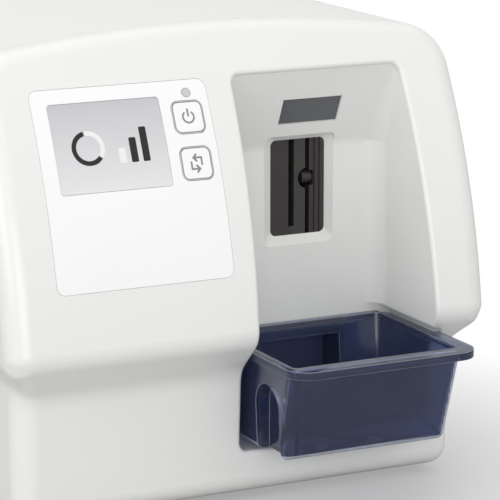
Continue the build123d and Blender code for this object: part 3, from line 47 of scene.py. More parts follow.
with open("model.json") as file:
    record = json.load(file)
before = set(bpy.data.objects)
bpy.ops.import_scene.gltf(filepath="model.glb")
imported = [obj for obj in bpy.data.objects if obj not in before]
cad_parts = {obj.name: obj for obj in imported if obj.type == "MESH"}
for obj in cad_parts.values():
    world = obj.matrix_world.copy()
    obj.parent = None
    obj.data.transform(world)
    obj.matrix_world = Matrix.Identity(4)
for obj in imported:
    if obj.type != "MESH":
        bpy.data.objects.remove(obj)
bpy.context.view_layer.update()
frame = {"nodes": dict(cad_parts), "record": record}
nodes = frame["nodes"]

MM = 0.001

# Typical refractive indices
ABS_IOR = 1.53
POLYESTER_IOR = 1.57
POLYCARBONATE_IOR = 1.58
ACRYLIC_IOR = 1.49
GLASS_IOR = 1.5
RESIN_IOR = 1.5

# Sockets of the Mix node when it mixes colours
MIX_SHARE, MIX_A, MIX_B, MIX_OUT = 0, 6, 7, 2

# Depth of a moulded or coated grain, and of a metal's scratches
GRAIN_DEPTH = 0.02 * MM
SCRATCH_DEPTH = 0.01 * MM

# A scratch is this many times as long as it is wide
SCRATCH_LENGTH = 40

# The slot's middle in metres, where the surround turns from brown to neutral
SLOT_X = 0.0408

# The panel of the display and keys leans back; marks are drawn flat and laid on it.
# X is measured from the scanner's middle, V up the panel from its origin.
PANEL_LEAN = math.radians(23.8)
PANEL_ORIGIN = Vector((-54.95, -109.0, 152.5)) * MM
PANEL_TURN = Matrix.Rotation(math.pi / 2 - PANEL_LEAN, 4, "X")
KEY_X = -19.6 * MM
POWER_V = 9.2 * MM
CYCLE_V = -9.8 * MM
LENS_X = -18.59 * MM
LENS_V = 19.3 * MM

# Half of a key's width
KEY_HALF = 6.7 * MM

# A mark is laid from this far off the panel, and its back ends just inside the surface, so
# that no gap shows
MARK_CLEARANCE = 8 * MM
MARK_SINK = -0.01 * MM


def linear(code):
    """A linear RGB triple from an sRGB hex code."""
    channels = [int(code[i:i + 2], 16) / 255 for i in (1, 3, 5)]
    return tuple(c / 12.92 if c <= 0.04045 else ((c + 0.055) / 1.055) ** 2.4 for c in channels)


def rgba(colour):
    """A colour socket's value, from a hex code or a linear triple."""
    return (*(linear(colour) if isinstance(colour, str) else colour), 1.0)


def tint(colour, factor):
    """The colour a little darker or lighter, as a linear triple."""
    return tuple(min(1.0, channel * factor) for channel in rgba(colour)[:3])


def per(size_mm):
    """A pattern's scale, from the real size of its features."""
    return 1 / (size_mm * MM)


class ShellLook(PropertyGroup):
    """Colours of the mouldings and prints."""

    shell: FloatVectorProperty(
        name="Shell", description="White of the housing",
        subtype="COLOR", default=linear("#f1f1ee"))
    film: FloatVectorProperty(
        name="Film", description="White of the printed face",
        subtype="COLOR", default=linear("#fdfdfe"))
    mark: FloatVectorProperty(
        name="Marks", description="Grey of the printed symbols",
        subtype="COLOR", default=linear("#8e8f91"))
    line: FloatVectorProperty(
        name="Lines", description="Grey of the ring round the lens",
        subtype="COLOR", default=linear("#a3a5a8"))
    insert: FloatVectorProperty(
        name="Slot surround", description="Dark brown grey beside the slot",
        subtype="COLOR", default=linear("#373031"))
    web: FloatVectorProperty(
        name="Slot web", description="Neutral grey between slot and groove",
        subtype="COLOR", default=linear("#3a3a37"))
    tray: FloatVectorProperty(
        name="Tray", description="Blue that the tray's thickness darkens",
        subtype="COLOR", default=linear("#7a88b2"))
    # Painted highlight: this pale blue stands in for the light that the tray's rounded edges catch
    tray_edge_highlight: FloatVectorProperty(
        name="Tray edges", description="Pale blue of the tray's rounded edges",
        subtype="COLOR", default=linear("#c6cddd"))
    tint: FloatVectorProperty(
        name="Smoked window", description="Grey of the small window",
        subtype="COLOR", default=linear("#6d6f72"))


class MarkSizes(PropertyGroup):
    """Sizes of the printed marks."""

    symbol_radius: FloatProperty(
        name="Symbol radius", description="Outer radius of a key's symbol",
        default=2.75 * MM, unit="LENGTH")
    symbol_line: FloatProperty(
        name="Symbol line", description="Width of a symbol's strokes",
        default=0.75 * MM, unit="LENGTH")
    frame_line: FloatProperty(
        name="Frame line", description="Width of the line round a key",
        default=0.5 * MM, unit="LENGTH")
    film_depth: FloatProperty(
        name="Ink thickness", description="Thickness of a printed mark",
        default=0.05 * MM, unit="LENGTH")
    facets: IntProperty(name="Facets", description="Points round a symbol's ring", default=72, min=24)


class StudioSettings(PropertyGroup):
    """Camera and light."""

    focal: FloatProperty(
        name="Focal length", description="Lens on a 36 mm sensor", default=198.0, unit="CAMERA")
    azimuth: FloatProperty(
        name="Azimuth", description="Turn of the view to the right",
        default=math.radians(26.5), subtype="ANGLE")
    elevation: FloatProperty(
        name="Elevation", description="Height of the view",
        default=math.radians(12.65), subtype="ANGLE")
    place: FloatVectorProperty(
        name="Camera", description="Where the camera stands", subtype="TRANSLATION",
        default=(-0.4785, -1.0804, 0.3485))
    key_power: FloatProperty(
        name="Key light", description="Power of the large light", default=8.3, unit="POWER")
    front_share: FloatProperty(
        name="Front light", description="Its share of the key light's power",
        default=0.85, min=0.0, max=1.0, subtype="FACTOR")
    top_share: FloatProperty(
        name="Top light", description="Its share of the key light's power",
        default=0.34, min=0.0, max=1.0, subtype="FACTOR")
    sky: FloatProperty(name="Ambient", description="Strength of the even light", default=0.8)


# Materials


def add_node(tree, kind, settings=None, links=None):
    """Adds a node, sets its attributes or sockets, and links sockets into it."""
    node = tree.nodes.new(kind)
    for key, value in (settings or {}).items():
        if isinstance(key, str) and hasattr(node, key):
            setattr(node, key, value)
        else:
            node.inputs[key].default_value = value
    for key, socket in (links or {}).items():
        tree.links.new(socket, node.inputs[key])
    return node


def start_material(name):
    """An empty material, its tree, and the object's own coordinates for its patterns."""
    material = bpy.data.materials.new(name)
    material.use_nodes = True
    tree = material.node_tree
    tree.nodes.clear()
    return material, tree, {"Vector": add_node(tree, "ShaderNodeTexCoord").outputs["Object"]}


def moulded(name, light, dark, rough, grain_mm, coat=0.0):
    """Moulded or coated surface: a fine spark grain, faint flow marks and a gloss that varies."""
    material, tree, place = start_material(name)
    grain = add_node(tree, "ShaderNodeTexNoise", {
        "Scale": per(grain_mm), "Detail": 2.0, "Roughness": 0.6}, place)
    # Flow marks some 40 mm across
    flow = add_node(tree, "ShaderNodeTexNoise", {"Scale": 24.0, "Detail": 3.0}, place)
    colour = add_node(tree, "ShaderNodeMix", {
        "data_type": "RGBA", MIX_A: rgba(light), MIX_B: rgba(dark)}, {MIX_SHARE: flow.outputs["Fac"]})
    gloss = add_node(tree, "ShaderNodeMapRange", {
        "To Min": rough - 0.02, "To Max": rough + 0.03}, {"Value": grain.outputs["Fac"]})
    bump = add_node(tree, "ShaderNodeBump", {
        "Strength": 0.1, "Distance": GRAIN_DEPTH}, {"Height": grain.outputs["Fac"]})
    shader = add_node(tree, "ShaderNodeBsdfPrincipled", {
        "IOR": ABS_IOR, "Coat Weight": coat, "Coat Roughness": 0.12}, {
        "Base Color": colour.outputs[MIX_OUT], "Roughness": gloss.outputs["Result"],
        "Normal": bump.outputs["Normal"]})
    add_node(tree, "ShaderNodeOutputMaterial", None, {"Surface": shader.outputs["BSDF"]})
    return material


def printed_film(name, colour, rough):
    """Polyester film: flat white ink under a fine matt hard coat."""
    material, tree, place = start_material(name)
    # The hard coat's own grain is finer, and is drawn as coarse as it needs to show
    coat_grain = add_node(tree, "ShaderNodeTexNoise", {"Scale": per(0.25), "Detail": 1.0}, place)
    # The ink lies unevenly over 25 mm
    lay = add_node(tree, "ShaderNodeTexNoise", {"Scale": 40.0, "Detail": 2.0}, place)
    ink = add_node(tree, "ShaderNodeMix", {
        "data_type": "RGBA", MIX_A: rgba(colour), MIX_B: rgba(tint(colour, 0.975))},
        {MIX_SHARE: lay.outputs["Fac"]})
    bump = add_node(tree, "ShaderNodeBump", {
        "Strength": 0.08, "Distance": GRAIN_DEPTH}, {"Height": coat_grain.outputs["Fac"]})
    shader = add_node(tree, "ShaderNodeBsdfPrincipled", {"IOR": POLYESTER_IOR, "Roughness": rough}, {
        "Base Color": ink.outputs[MIX_OUT], "Normal": bump.outputs["Normal"]})
    add_node(tree, "ShaderNodeOutputMaterial", None, {"Surface": shader.outputs["BSDF"]})
    return material


def printed_ink(name, colour):
    """Screen-printed ink: a dense even colour with a faint mesh texture from the screen."""
    material, tree, place = start_material(name)
    mesh = add_node(tree, "ShaderNodeTexNoise", {"Scale": per(0.3), "Detail": 1.0}, place)
    ink = add_node(tree, "ShaderNodeMix", {
        "data_type": "RGBA", MIX_A: rgba(colour), MIX_B: rgba(tint(colour, 0.93))},
        {MIX_SHARE: mesh.outputs["Fac"]})
    shader = add_node(tree, "ShaderNodeBsdfPrincipled", {"IOR": RESIN_IOR, "Roughness": 0.4}, {
        "Base Color": ink.outputs[MIX_OUT]})
    add_node(tree, "ShaderNodeOutputMaterial", None, {"Surface": shader.outputs["BSDF"]})
    return material


def display_glass(name, low, high):
    """A reflective display under glass: pale grey, paler towards its lower edge, with its cells."""
    material, tree, place = start_material(name)
    split = add_node(tree, "ShaderNodeSeparateXYZ", None, place)
    fall = add_node(tree, "ShaderNodeMapRange", {"From Min": low, "From Max": high}, {
        "Value": split.outputs["Z"]})
    ramp = add_node(tree, "ShaderNodeValToRGB", None, {"Fac": fall.outputs["Result"]})
    ramp.color_ramp.elements[0].color = rgba("#e9e9ea")
    ramp.color_ramp.elements[1].color = rgba("#c9c9cd")
    # The display's own cells are finer, and are drawn as coarse as they need to show
    cells = add_node(tree, "ShaderNodeTexVoronoi", {"Scale": per(0.5)}, place)
    shade = add_node(tree, "ShaderNodeMapRange", {"To Min": 0.985, "To Max": 1.0}, {
        "Value": cells.outputs["Distance"]})
    colour = add_node(tree, "ShaderNodeVectorMath", {"operation": "SCALE"}, {
        0: ramp.outputs["Color"], "Scale": shade.outputs["Result"]})
    shader = add_node(tree, "ShaderNodeBsdfPrincipled", {
        "IOR": GLASS_IOR, "Roughness": 0.12, "Coat Weight": 0.6, "Coat Roughness": 0.04}, {
        "Base Color": colour.outputs["Vector"]})
    add_node(tree, "ShaderNodeOutputMaterial", None, {"Surface": shader.outputs["BSDF"]})
    return material


def smoked_acrylic(name, colour):
    """Grey cast acrylic: dark, glossy, a little light passing through."""
    material, tree, place = start_material(name)
    # Haze some 11 mm across
    haze = add_node(tree, "ShaderNodeTexNoise", {"Scale": 90.0, "Detail": 2.0}, place)
    rough = add_node(tree, "ShaderNodeMapRange", {"To Min": 0.1, "To Max": 0.2}, {
        "Value": haze.outputs["Fac"]})
    shader = add_node(tree, "ShaderNodeBsdfPrincipled", {
        "Base Color": rgba(colour), "IOR": ACRYLIC_IOR, "Transmission Weight": 0.2}, {
        "Roughness": rough.outputs["Result"]})
    add_node(tree, "ShaderNodeOutputMaterial", None, {"Surface": shader.outputs["BSDF"]})
    return material


def clear_acrylic(name, colour, weight):
    """Polished acrylic that light passes through."""
    material, tree, place = start_material(name)
    # Ripples some 17 mm across
    ripple = add_node(tree, "ShaderNodeTexNoise", {"Scale": 60.0}, place)
    bump = add_node(tree, "ShaderNodeBump", {"Strength": 0.05, "Distance": 0.1 * MM}, {
        "Height": ripple.outputs["Fac"]})
    shader = add_node(tree, "ShaderNodeBsdfPrincipled", {
        "Base Color": rgba(colour), "IOR": ACRYLIC_IOR, "Transmission Weight": weight,
        "Roughness": 0.08}, {"Normal": bump.outputs["Normal"]})
    add_node(tree, "ShaderNodeOutputMaterial", None, {"Surface": shader.outputs["BSDF"]})
    return material


def tray_plastic(name, colour):
    """Blue polycarbonate: see-through and polished, with a fine haze of scuffs from the plates."""
    material, tree, place = start_material(name)
    # Flow marks some 33 mm across
    flow = add_node(tree, "ShaderNodeTexNoise", {"Scale": 30.0, "Detail": 3.0}, place)
    depth = add_node(tree, "ShaderNodeMix", {
        "data_type": "RGBA", MIX_A: rgba(colour), MIX_B: rgba(tint(colour, 0.8))},
        {MIX_SHARE: flow.outputs["Fac"]})
    scuff = add_node(tree, "ShaderNodeTexNoise", {
        "Scale": per(1.2), "Detail": 4.0, "Roughness": 0.7}, place)
    rough = add_node(tree, "ShaderNodeMapRange", {
        "From Min": 0.35, "From Max": 0.7, "To Min": 0.06, "To Max": 0.16}, {
        "Value": scuff.outputs["Fac"]})
    shader = add_node(tree, "ShaderNodeBsdfPrincipled", {
        "IOR": POLYCARBONATE_IOR, "Transmission Weight": 0.9}, {
        "Base Color": depth.outputs[MIX_OUT], "Roughness": rough.outputs["Result"]})
    add_node(tree, "ShaderNodeOutputMaterial", None, {"Surface": shader.outputs["BSDF"]})
    return material


def tray_edge_highlight(name, colour):
    """Painted highlight for polycarbonate's rounded edges: a pale colour that stands in for the light
    they gather from the walls, shown as pale lines.
    """
    material, tree, place = start_material(name)
    # The painted highlight varies in brightness over some 4 mm
    highlight_unevenness = add_node(tree, "ShaderNodeTexNoise", {"Scale": per(4), "Detail": 2.0}, place)
    glow = add_node(tree, "ShaderNodeMix", {
        "data_type": "RGBA", MIX_A: rgba(colour), MIX_B: rgba(tint(colour, 0.6))},
        {MIX_SHARE: highlight_unevenness.outputs["Fac"]})
    shader = add_node(tree, "ShaderNodeBsdfPrincipled", {
        "IOR": POLYCARBONATE_IOR, "Roughness": 0.2, "Transmission Weight": 0.1}, {
        "Base Color": glow.outputs[MIX_OUT]})
    add_node(tree, "ShaderNodeOutputMaterial", None, {"Surface": shader.outputs["BSDF"]})
    return material


def two_shot(name, side, web, turn_x):
    """Slot surround moulded in two shots: brown-grey sides, a neutral web, a fine spark grain."""
    material, tree, place = start_material(name)
    split = add_node(tree, "ShaderNodeSeparateXYZ", None, place)
    past_slot = add_node(tree, "ShaderNodeMath", {"operation": "GREATER_THAN", 1: turn_x}, {
        0: split.outputs["X"]})
    grain = add_node(tree, "ShaderNodeTexNoise", {"Scale": per(0.5), "Detail": 2.0}, place)
    shot = add_node(tree, "ShaderNodeMix", {
        "data_type": "RGBA", MIX_A: rgba(side), MIX_B: rgba(web)}, {
        MIX_SHARE: past_slot.outputs["Value"]})
    rough = add_node(tree, "ShaderNodeMapRange", {"To Min": 0.4, "To Max": 0.52}, {
        "Value": grain.outputs["Fac"]})
    bump = add_node(tree, "ShaderNodeBump", {
        "Strength": 0.1, "Distance": GRAIN_DEPTH}, {"Height": grain.outputs["Fac"]})
    shader = add_node(tree, "ShaderNodeBsdfPrincipled", {"IOR": ABS_IOR}, {
        "Base Color": shot.outputs[MIX_OUT], "Roughness": rough.outputs["Result"],
        "Normal": bump.outputs["Normal"]})
    add_node(tree, "ShaderNodeOutputMaterial", None, {"Surface": shader.outputs["BSDF"]})
    return material


def brushed_metal(name, colour, along, rough, grit_mm):
    """Ground or rolled metal: long scratches in one direction over an even sheen."""
    material, tree, place = start_material(name)
    stretch = [per(grit_mm)] * 3
    stretch[along] /= SCRATCH_LENGTH
    lay = add_node(tree, "ShaderNodeMapping", {"Scale": stretch}, place)
    scratch = add_node(tree, "ShaderNodeTexNoise", {"Scale": 1.0, "Detail": 3.0}, {
        "Vector": lay.outputs["Vector"]})
    gloss = add_node(tree, "ShaderNodeMapRange", {
        "To Min": rough - 0.08, "To Max": rough + 0.12}, {"Value": scratch.outputs["Fac"]})
    bump = add_node(tree, "ShaderNodeBump", {
        "Strength": 0.15, "Distance": SCRATCH_DEPTH}, {"Height": scratch.outputs["Fac"]})
    shader = add_node(tree, "ShaderNodeBsdfPrincipled", {
        "Base Color": rgba(colour), "Metallic": 1.0}, {
        "Roughness": gloss.outputs["Result"], "Normal": bump.outputs["Normal"]})
    add_node(tree, "ShaderNodeOutputMaterial", None, {"Surface": shader.outputs["BSDF"]})
    return material


def circuit_board(name):
    """Glass-epoxy board under green solder resist, with copper tracks that show as paler lines."""
    material, tree, place = start_material(name)
    # Tracks some 3 mm by 1.5 mm apart: half and a quarter of this scale's size
    tracks = add_node(tree, "ShaderNodeTexBrick", {
        "Scale": per(6), "Mortar Size": 0.04, "Color1": rgba("#1d5c3a"), "Color2": rgba("#1a5535"),
        "Mortar": rgba("#3c8a5a")}, place)
    shader = add_node(tree, "ShaderNodeBsdfPrincipled", {"Roughness": 0.35, "IOR": RESIN_IOR}, {
        "Base Color": tracks.outputs["Color"]})
    add_node(tree, "ShaderNodeOutputMaterial", None, {"Surface": shader.outputs["BSDF"]})
    return material


def finishes(look):
    """Every finish by the record's slot name."""
    low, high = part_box("display_window")
    black = moulded("glass_filled_nylon_black", "#1c1c1e", "#171719", 0.45, 0.5)
    ground = brushed_metal("ground_steel", "#b9bbbf", 1, 0.25, 0.2)
    # Moulded: two colours, roughness, grain in millimetres and a gloss coat's weight.
    # Brushed: a colour, the axis that the scratches follow, roughness and grit in millimetres.
    return {
        "shell": moulded("moulded_abs_white", look.shell, tint(look.shell, 0.992), 0.24, 0.7),
        "overlay": printed_film("printed_polyester_film", look.film, 0.33),
        "keys": printed_film("film_over_key_cap", look.film, 0.3),
        "lens": moulded("opal_light_pipe", "#d3d4d6", "#cccdcf", 0.25, 0.6, 0.3),
        "display": display_glass("display_glass", low[2], high[2]),
        "insert": two_shot("two_shot_slot_surround", look.insert, look.web, SLOT_X),
        "lcd": moulded("lcd_bezel_grey", "#9a9c9f", "#929497", 0.4, 0.5),
        "tint": smoked_acrylic("smoked_acrylic", look.tint),
        "tray": tray_plastic("blue_polycarbonate", look.tray),
        "panel": moulded("powder_coated_steel", "#d3d4d7", "#cdced1", 0.5, 0.9),
        "rubber": moulded("neoprene_rubber", "#242424", "#1e1e1e", 0.75, 0.4),
        "screws": brushed_metal("zinc_plated_screw", "#b2b4b8", 0, 0.3, 0.3),
        "circuit": circuit_board("solder_resist_green"),
        "switches": black,
        "ribbon": moulded("pvc_ribbon_grey", "#b5b4ae", "#aaa9a3", 0.5, 0.8),
        "steel": ground,
        "sheet": brushed_metal("rolled_zinc_sheet", "#9fa2a6", 0, 0.4, 0.4),
        "standoff": ground,
        "motors": moulded("black_oxide_motor", "#19191b", "#141416", 0.38, 0.3, 0.2),
        "carriage": black,
        "brass": brushed_metal("sintered_bronze", "#b98f4e", 1, 0.35, 0.3),
        "magnet": brushed_metal("nickel_plated_magnet", "#c9c9cc", 2, 0.15, 0.2),
        "laser": brushed_metal("anodised_aluminium", "#8f9196", 2, 0.32, 0.2),
        "mirror": brushed_metal("polished_mirror_facets", "#dfe3e8", 1, 0.1, 0.1),
        "guide": clear_acrylic("polished_light_guide", "#e4ecf2", 0.9),
        "detector": black,
        "lamps": clear_acrylic("clear_lamp_lens", "#f0e2a8", 0.4),
        "ports": moulded("port_housing_black", "#161617", "#121213", 0.4, 0.4),
    }


# Mesh helpers


def clear_selection():
    """Deselects everything, so that an operator acts on the new piece alone."""
    if bpy.context.object and bpy.context.object.mode != "OBJECT":
        bpy.ops.object.mode_set(mode="OBJECT")
    bpy.ops.object.select_all(action="DESELECT")


def select_only(piece):
    """Selects the piece alone and makes it the active one."""
    clear_selection()
    piece.select_set(True)
    bpy.context.view_layer.objects.active = piece


def apply_place(piece):
    """Puts the piece's place into its mesh."""
    select_only(piece)
    bpy.ops.object.transform_apply(location=True, rotation=True, scale=True)


def apply_modifier(piece, kind, **settings):
    """Adds a modifier to the piece and applies it."""
    select_only(piece)
    modifier = piece.modifiers.new(kind.title(), kind)
    for key, value in settings.items():
        setattr(modifier, key, value)
    bpy.ops.object.modifier_apply(modifier=modifier.name)


def start_piece(name):
    """Names the primitive that was just added, applies its place and enters edit mode."""
    piece = bpy.context.object
    apply_place(piece)
    piece.name = name
    piece.data.name = name
    bpy.ops.object.mode_set(mode="EDIT")
    return piece


def pick(piece, test, kind="VERT"):
    """Selects the vertices, edges or faces whose middle passes a test."""
    bpy.ops.mesh.select_mode(type=kind)
    bpy.ops.mesh.select_all(action="DESELECT")
    mesh = bmesh.from_edit_mesh(piece.data)
    if kind == "VERT":
        for vert in mesh.verts:
            vert.select_set(bool(test(vert.co)))
    elif kind == "EDGE":
        for edge in mesh.edges:
            edge.select_set(bool(test((edge.verts[0].co + edge.verts[1].co) / 2)))
    else:
        for face in mesh.faces:
            face.select_set(bool(test(face.calc_center_median())))
    mesh.select_flush_mode()
    bmesh.update_edit_mesh(piece.data)


def copy_at(piece, matrix):
    """A copy of the piece with its own mesh, placed by a matrix."""
    twin = piece.copy()
    twin.data = piece.data.copy()
    bpy.context.scene.collection.objects.link(twin)
    twin.matrix_world = matrix
    apply_place(twin)
    return twin


def discard(piece):
    """Removes a pattern piece once its copies are made."""
    mesh = piece.data
    bpy.data.objects.remove(piece)
    bpy.data.meshes.remove(mesh)


def join(pieces, name):
    """One piece from several."""
    clear_selection()
    for piece in pieces:
        piece.select_set(True)
    bpy.context.view_layer.objects.active = pieces[0]
    bpy.ops.object.join()
    pieces[0].name = name
    pieces[0].data.name = name
    return pieces[0]


def dress(piece, material, body):
    """Finishes a piece: material and body."""
    piece.data.materials.clear()
    piece.data.materials.append(material)
    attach(piece, body)


# Flat marks


def arc(radius, start, end, steps, centre=(0.0, 0.0)):
    """Points of an arc, angles in degrees from the right."""
    turns = [math.radians(start + (end - start) * i / steps) for i in range(steps + 1)]
    return [(centre[0] + radius * math.cos(t), centre[1] + radius * math.sin(t)) for t in turns]


def band(outer, inner, start, end, steps):
    """Outline of a strip of a ring between two angles."""
    return arc(outer, start, end, steps) + arc(inner, end, start, steps)


def rounded(half_across, half_up, corner, steps=10):
    """Outline of a rounded rectangle about the origin."""
    points = []
    for sx, sy, start in ((1, 1, 0), (-1, 1, 90), (-1, -1, 180), (1, -1, 270)):
        centre = (sx * (half_across - corner), sy * (half_up - corner))
        points += arc(corner, start, start + 90, steps, centre)
    return points


def moved(points, x, y):
    """The outline, moved."""
    return [(a + x, b + y) for a, b in points]


def turned(points):
    """The outline turned half round."""
    return [(-a, -b) for a, b in points]


def dense(points, pitch):
    """The closed outline with a point at least every pitch."""
    out = []
    for (x, y), (u, v) in zip(points, points[1:] + points[:1]):
        cuts = max(1, math.ceil(math.hypot(u - x, v - y) / pitch))
        out += [(x + (u - x) * i / cuts, y + (v - y) * i / cuts) for i in range(cuts)]
    return out


def flat_mark(name, outlines):
    """A flat filled shape from closed outlines; an outline inside another cuts a hole."""
    curve = bpy.data.curves.new(name, "CURVE")
    curve.dimensions = "2D"
    curve.fill_mode = "BOTH"
    for outline in outlines:
        points = dense(outline, 1.0 * MM)
        spline = curve.splines.new("POLY")
        spline.points.add(len(points) - 1)
        for point, (x, y) in zip(spline.points, points):
            point.co = (x, y, 0, 1)
        spline.use_cyclic_u = True
    mark = bpy.data.objects.new(name, curve)
    bpy.context.scene.collection.objects.link(mark)
    select_only(mark)
    bpy.ops.object.convert(target="MESH")
    mark = bpy.context.object
    bpy.ops.object.mode_set(mode="EDIT")
    bpy.ops.mesh.select_all(action="SELECT")
    bpy.ops.mesh.remove_doubles(threshold=0.001 * MM)
    bpy.ops.object.mode_set(mode="OBJECT")
    if sum(face.normal.z for face in mark.data.polygons) < 0:
        bpy.ops.object.mode_set(mode="EDIT")
        bpy.ops.mesh.flip_normals()
        bpy.ops.object.mode_set(mode="OBJECT")
    return mark


def lay_on_face(piece, target, x, v, ink):
    """Lays a flat mark on the curved face and gives it its thickness."""
    up = Vector((0, math.sin(PANEL_LEAN), math.cos(PANEL_LEAN)))
    out = Vector((0, -math.cos(PANEL_LEAN), math.sin(PANEL_LEAN)))
    centre = Vector((x, PANEL_ORIGIN.y, PANEL_ORIGIN.z)) + up * v + out * MARK_CLEARANCE
    piece.matrix_world = Matrix.Translation(centre) @ PANEL_TURN
    apply_modifier(
        piece, "SHRINKWRAP", target=nodes[target], wrap_method="PROJECT",
        wrap_mode="ABOVE_SURFACE", use_project_z=True, use_negative_direction=True,
        use_positive_direction=False, offset=MARK_SINK)
    apply_modifier(piece, "SOLIDIFY", thickness=ink, offset=1.0)
    apply_place(piece)
    return piece


class OBJECT_OT_scanner_finishes(Operator):
    """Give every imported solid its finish"""

    bl_idname = "object.scanner_finishes"
    bl_label = "Finishes"

    def execute(self, context):
        look = context.scene.scanner_shell
        by_slot = finishes(look)
        # Pieces whose plastic differs from the rest of their slot; the navy of the chute and flap is
        # also painted paler in place of light
        brown = moulded("moulded_abs_brown_grey", look.insert, tint(look.insert, 0.85), 0.44, 0.5)
        # Painted light: the chute and flap sit in shade behind the tray, and their navy is painted
        # much paler than the real moulding to stand in for the light they lack
        navy_painted_lighter = moulded("navy_abs_painted_lighter", "#566283", "#4c5874", 0.4, 0.5)
        own = {"slot_gate": brown, "magnet_finger": brown, "drop_chute": navy_painted_lighter, "drop_flap": navy_painted_lighter}
        for entry in frame["record"]["subparts"]:
            for holder in nodes[entry["node"]].material_slots:
                holder.material = own.get(entry["node"], by_slot[entry["material_slot"]])
        return {"FINISHED"}


class OBJECT_OT_scanner_key_prints(Operator):
    """Print the frames and symbols on the keys"""

    bl_idname = "object.scanner_key_prints"
    bl_label = "Key prints"

    def execute(self, context):
        look, size = context.scene.scanner_shell, context.scene.scanner_marks
        grey = printed_ink("grey_key_ink", look.mark)
        # A line just inside the edge of the key
        outer, corner = KEY_HALF - 0.15 * MM, 2.8 * MM
        inner, inner_corner = outer - size.frame_line, corner - size.frame_line
        frame_lines = [rounded(outer, outer, corner), rounded(inner, inner, inner_corner)]
        radius, line = size.symbol_radius, size.symbol_line
        half = line / 2

        # A ring with a gap of 70 degrees at the top, and a bar through the gap
        ring_start, ring_end = 125, 415
        ring = band(radius, radius - line, ring_start, ring_end, size.facets)
        bar_reach, bar_place = 0.62 * radius, 0.66 * radius
        bar = moved(rounded(half, bar_reach, 0.9 * half), 0, bar_place)
        power = flat_mark("power_key_print", [*frame_lines, ring, bar])
        lay_on_face(power, "power_key", KEY_X, POWER_V, size.film_depth)
        dress(power, grey, "power_key")

        # Two right-angle arrows that chase each other, in shares of the symbol's radius
        reach, tail, neck, barb, tip = (share * radius for share in (0.82, -0.32, -0.05, 0.2, -0.62))
        rise = 0.62 * radius * 0.6
        barb_back = barb - line * 0.8
        arrow = [
            (reach + half, tail), (reach + half, reach + half), (neck, reach + half),
            (barb, reach + rise + half), (barb_back, reach + rise + line), (tip, reach),
            (barb_back, reach - rise - line), (barb, reach - rise - half),
            (neck, reach - half), (reach - half, reach - half), (reach - half, tail),
        ]
        cycle = flat_mark("cycle_key_print", [*frame_lines, arrow, turned(arrow)])
        lay_on_face(cycle, "cycle_key", KEY_X, CYCLE_V, size.film_depth)
        dress(cycle, grey, "cycle_key")

        # A pale ring round the status lens, whose outlines close themselves over the last 5 degrees
        rim_outer, rim_inner, rim_end, rim_steps = 2.0 * MM, 1.65 * MM, 355, 48
        rim = flat_mark("lens_rim_print", [arc(rim_outer, 0, rim_end, rim_steps),
                                           arc(rim_inner, 0, rim_end, rim_steps)])
        lay_on_face(rim, "control_overlay", LENS_X, LENS_V, size.film_depth)
        dress(rim, printed_ink("pale_rim_ink", look.line), "housing")
        return {"FINISHED"}


class OBJECT_OT_scanner_display_marks(Operator):
    """Draw the idle picture on the display: a ring gauge and three bars"""

    bl_idname = "object.scanner_display_marks"
    bl_label = "Display marks"

    def execute(self, context):
        size = context.scene.scanner_marks
        dark = printed_ink("display_dark_segment", "#1a1a1c")
        pale = printed_ink("display_white_segment", "#f6f4f5")
        # Both stand on one line, as far below the middle as the ring's radius
        ring_outer, ring_width, ring_x = 7.0 * MM, 1.9 * MM, -9.5 * MM
        ring_inner = ring_outer - ring_width
        white_arc = moved(band(ring_outer, ring_inner, -35, 95, 40), ring_x, 0)
        dark_arc = moved(band(ring_outer, ring_inner, 100, 320, 60), ring_x, 0)
        bar_half, bar_corner, corner_steps = 1.5 * MM, 0.5 * MM, 5
        first_mm, pitch_mm, base_mm, heights_mm = 4.5, 5.0, -7.0, (6.0, 10.0, 14.0)
        bars = [moved(rounded(bar_half, height * MM / 2, bar_corner, corner_steps),
                      (first_mm + pitch_mm * n) * MM, (height / 2 + base_mm) * MM)
                for n, height in enumerate(heights_mm)]
        for name, ink, outlines in (("display_pale_marks", pale, [white_arc, bars[0]]),
                                    ("display_dark_marks", dark, [dark_arc, *bars[1:]])):
            mark = flat_mark(name, outlines)
            lay_on_face(mark, "display_window", PANEL_ORIGIN.x, 0, size.film_depth)
            dress(mark, ink, "housing")
        return {"FINISHED"}


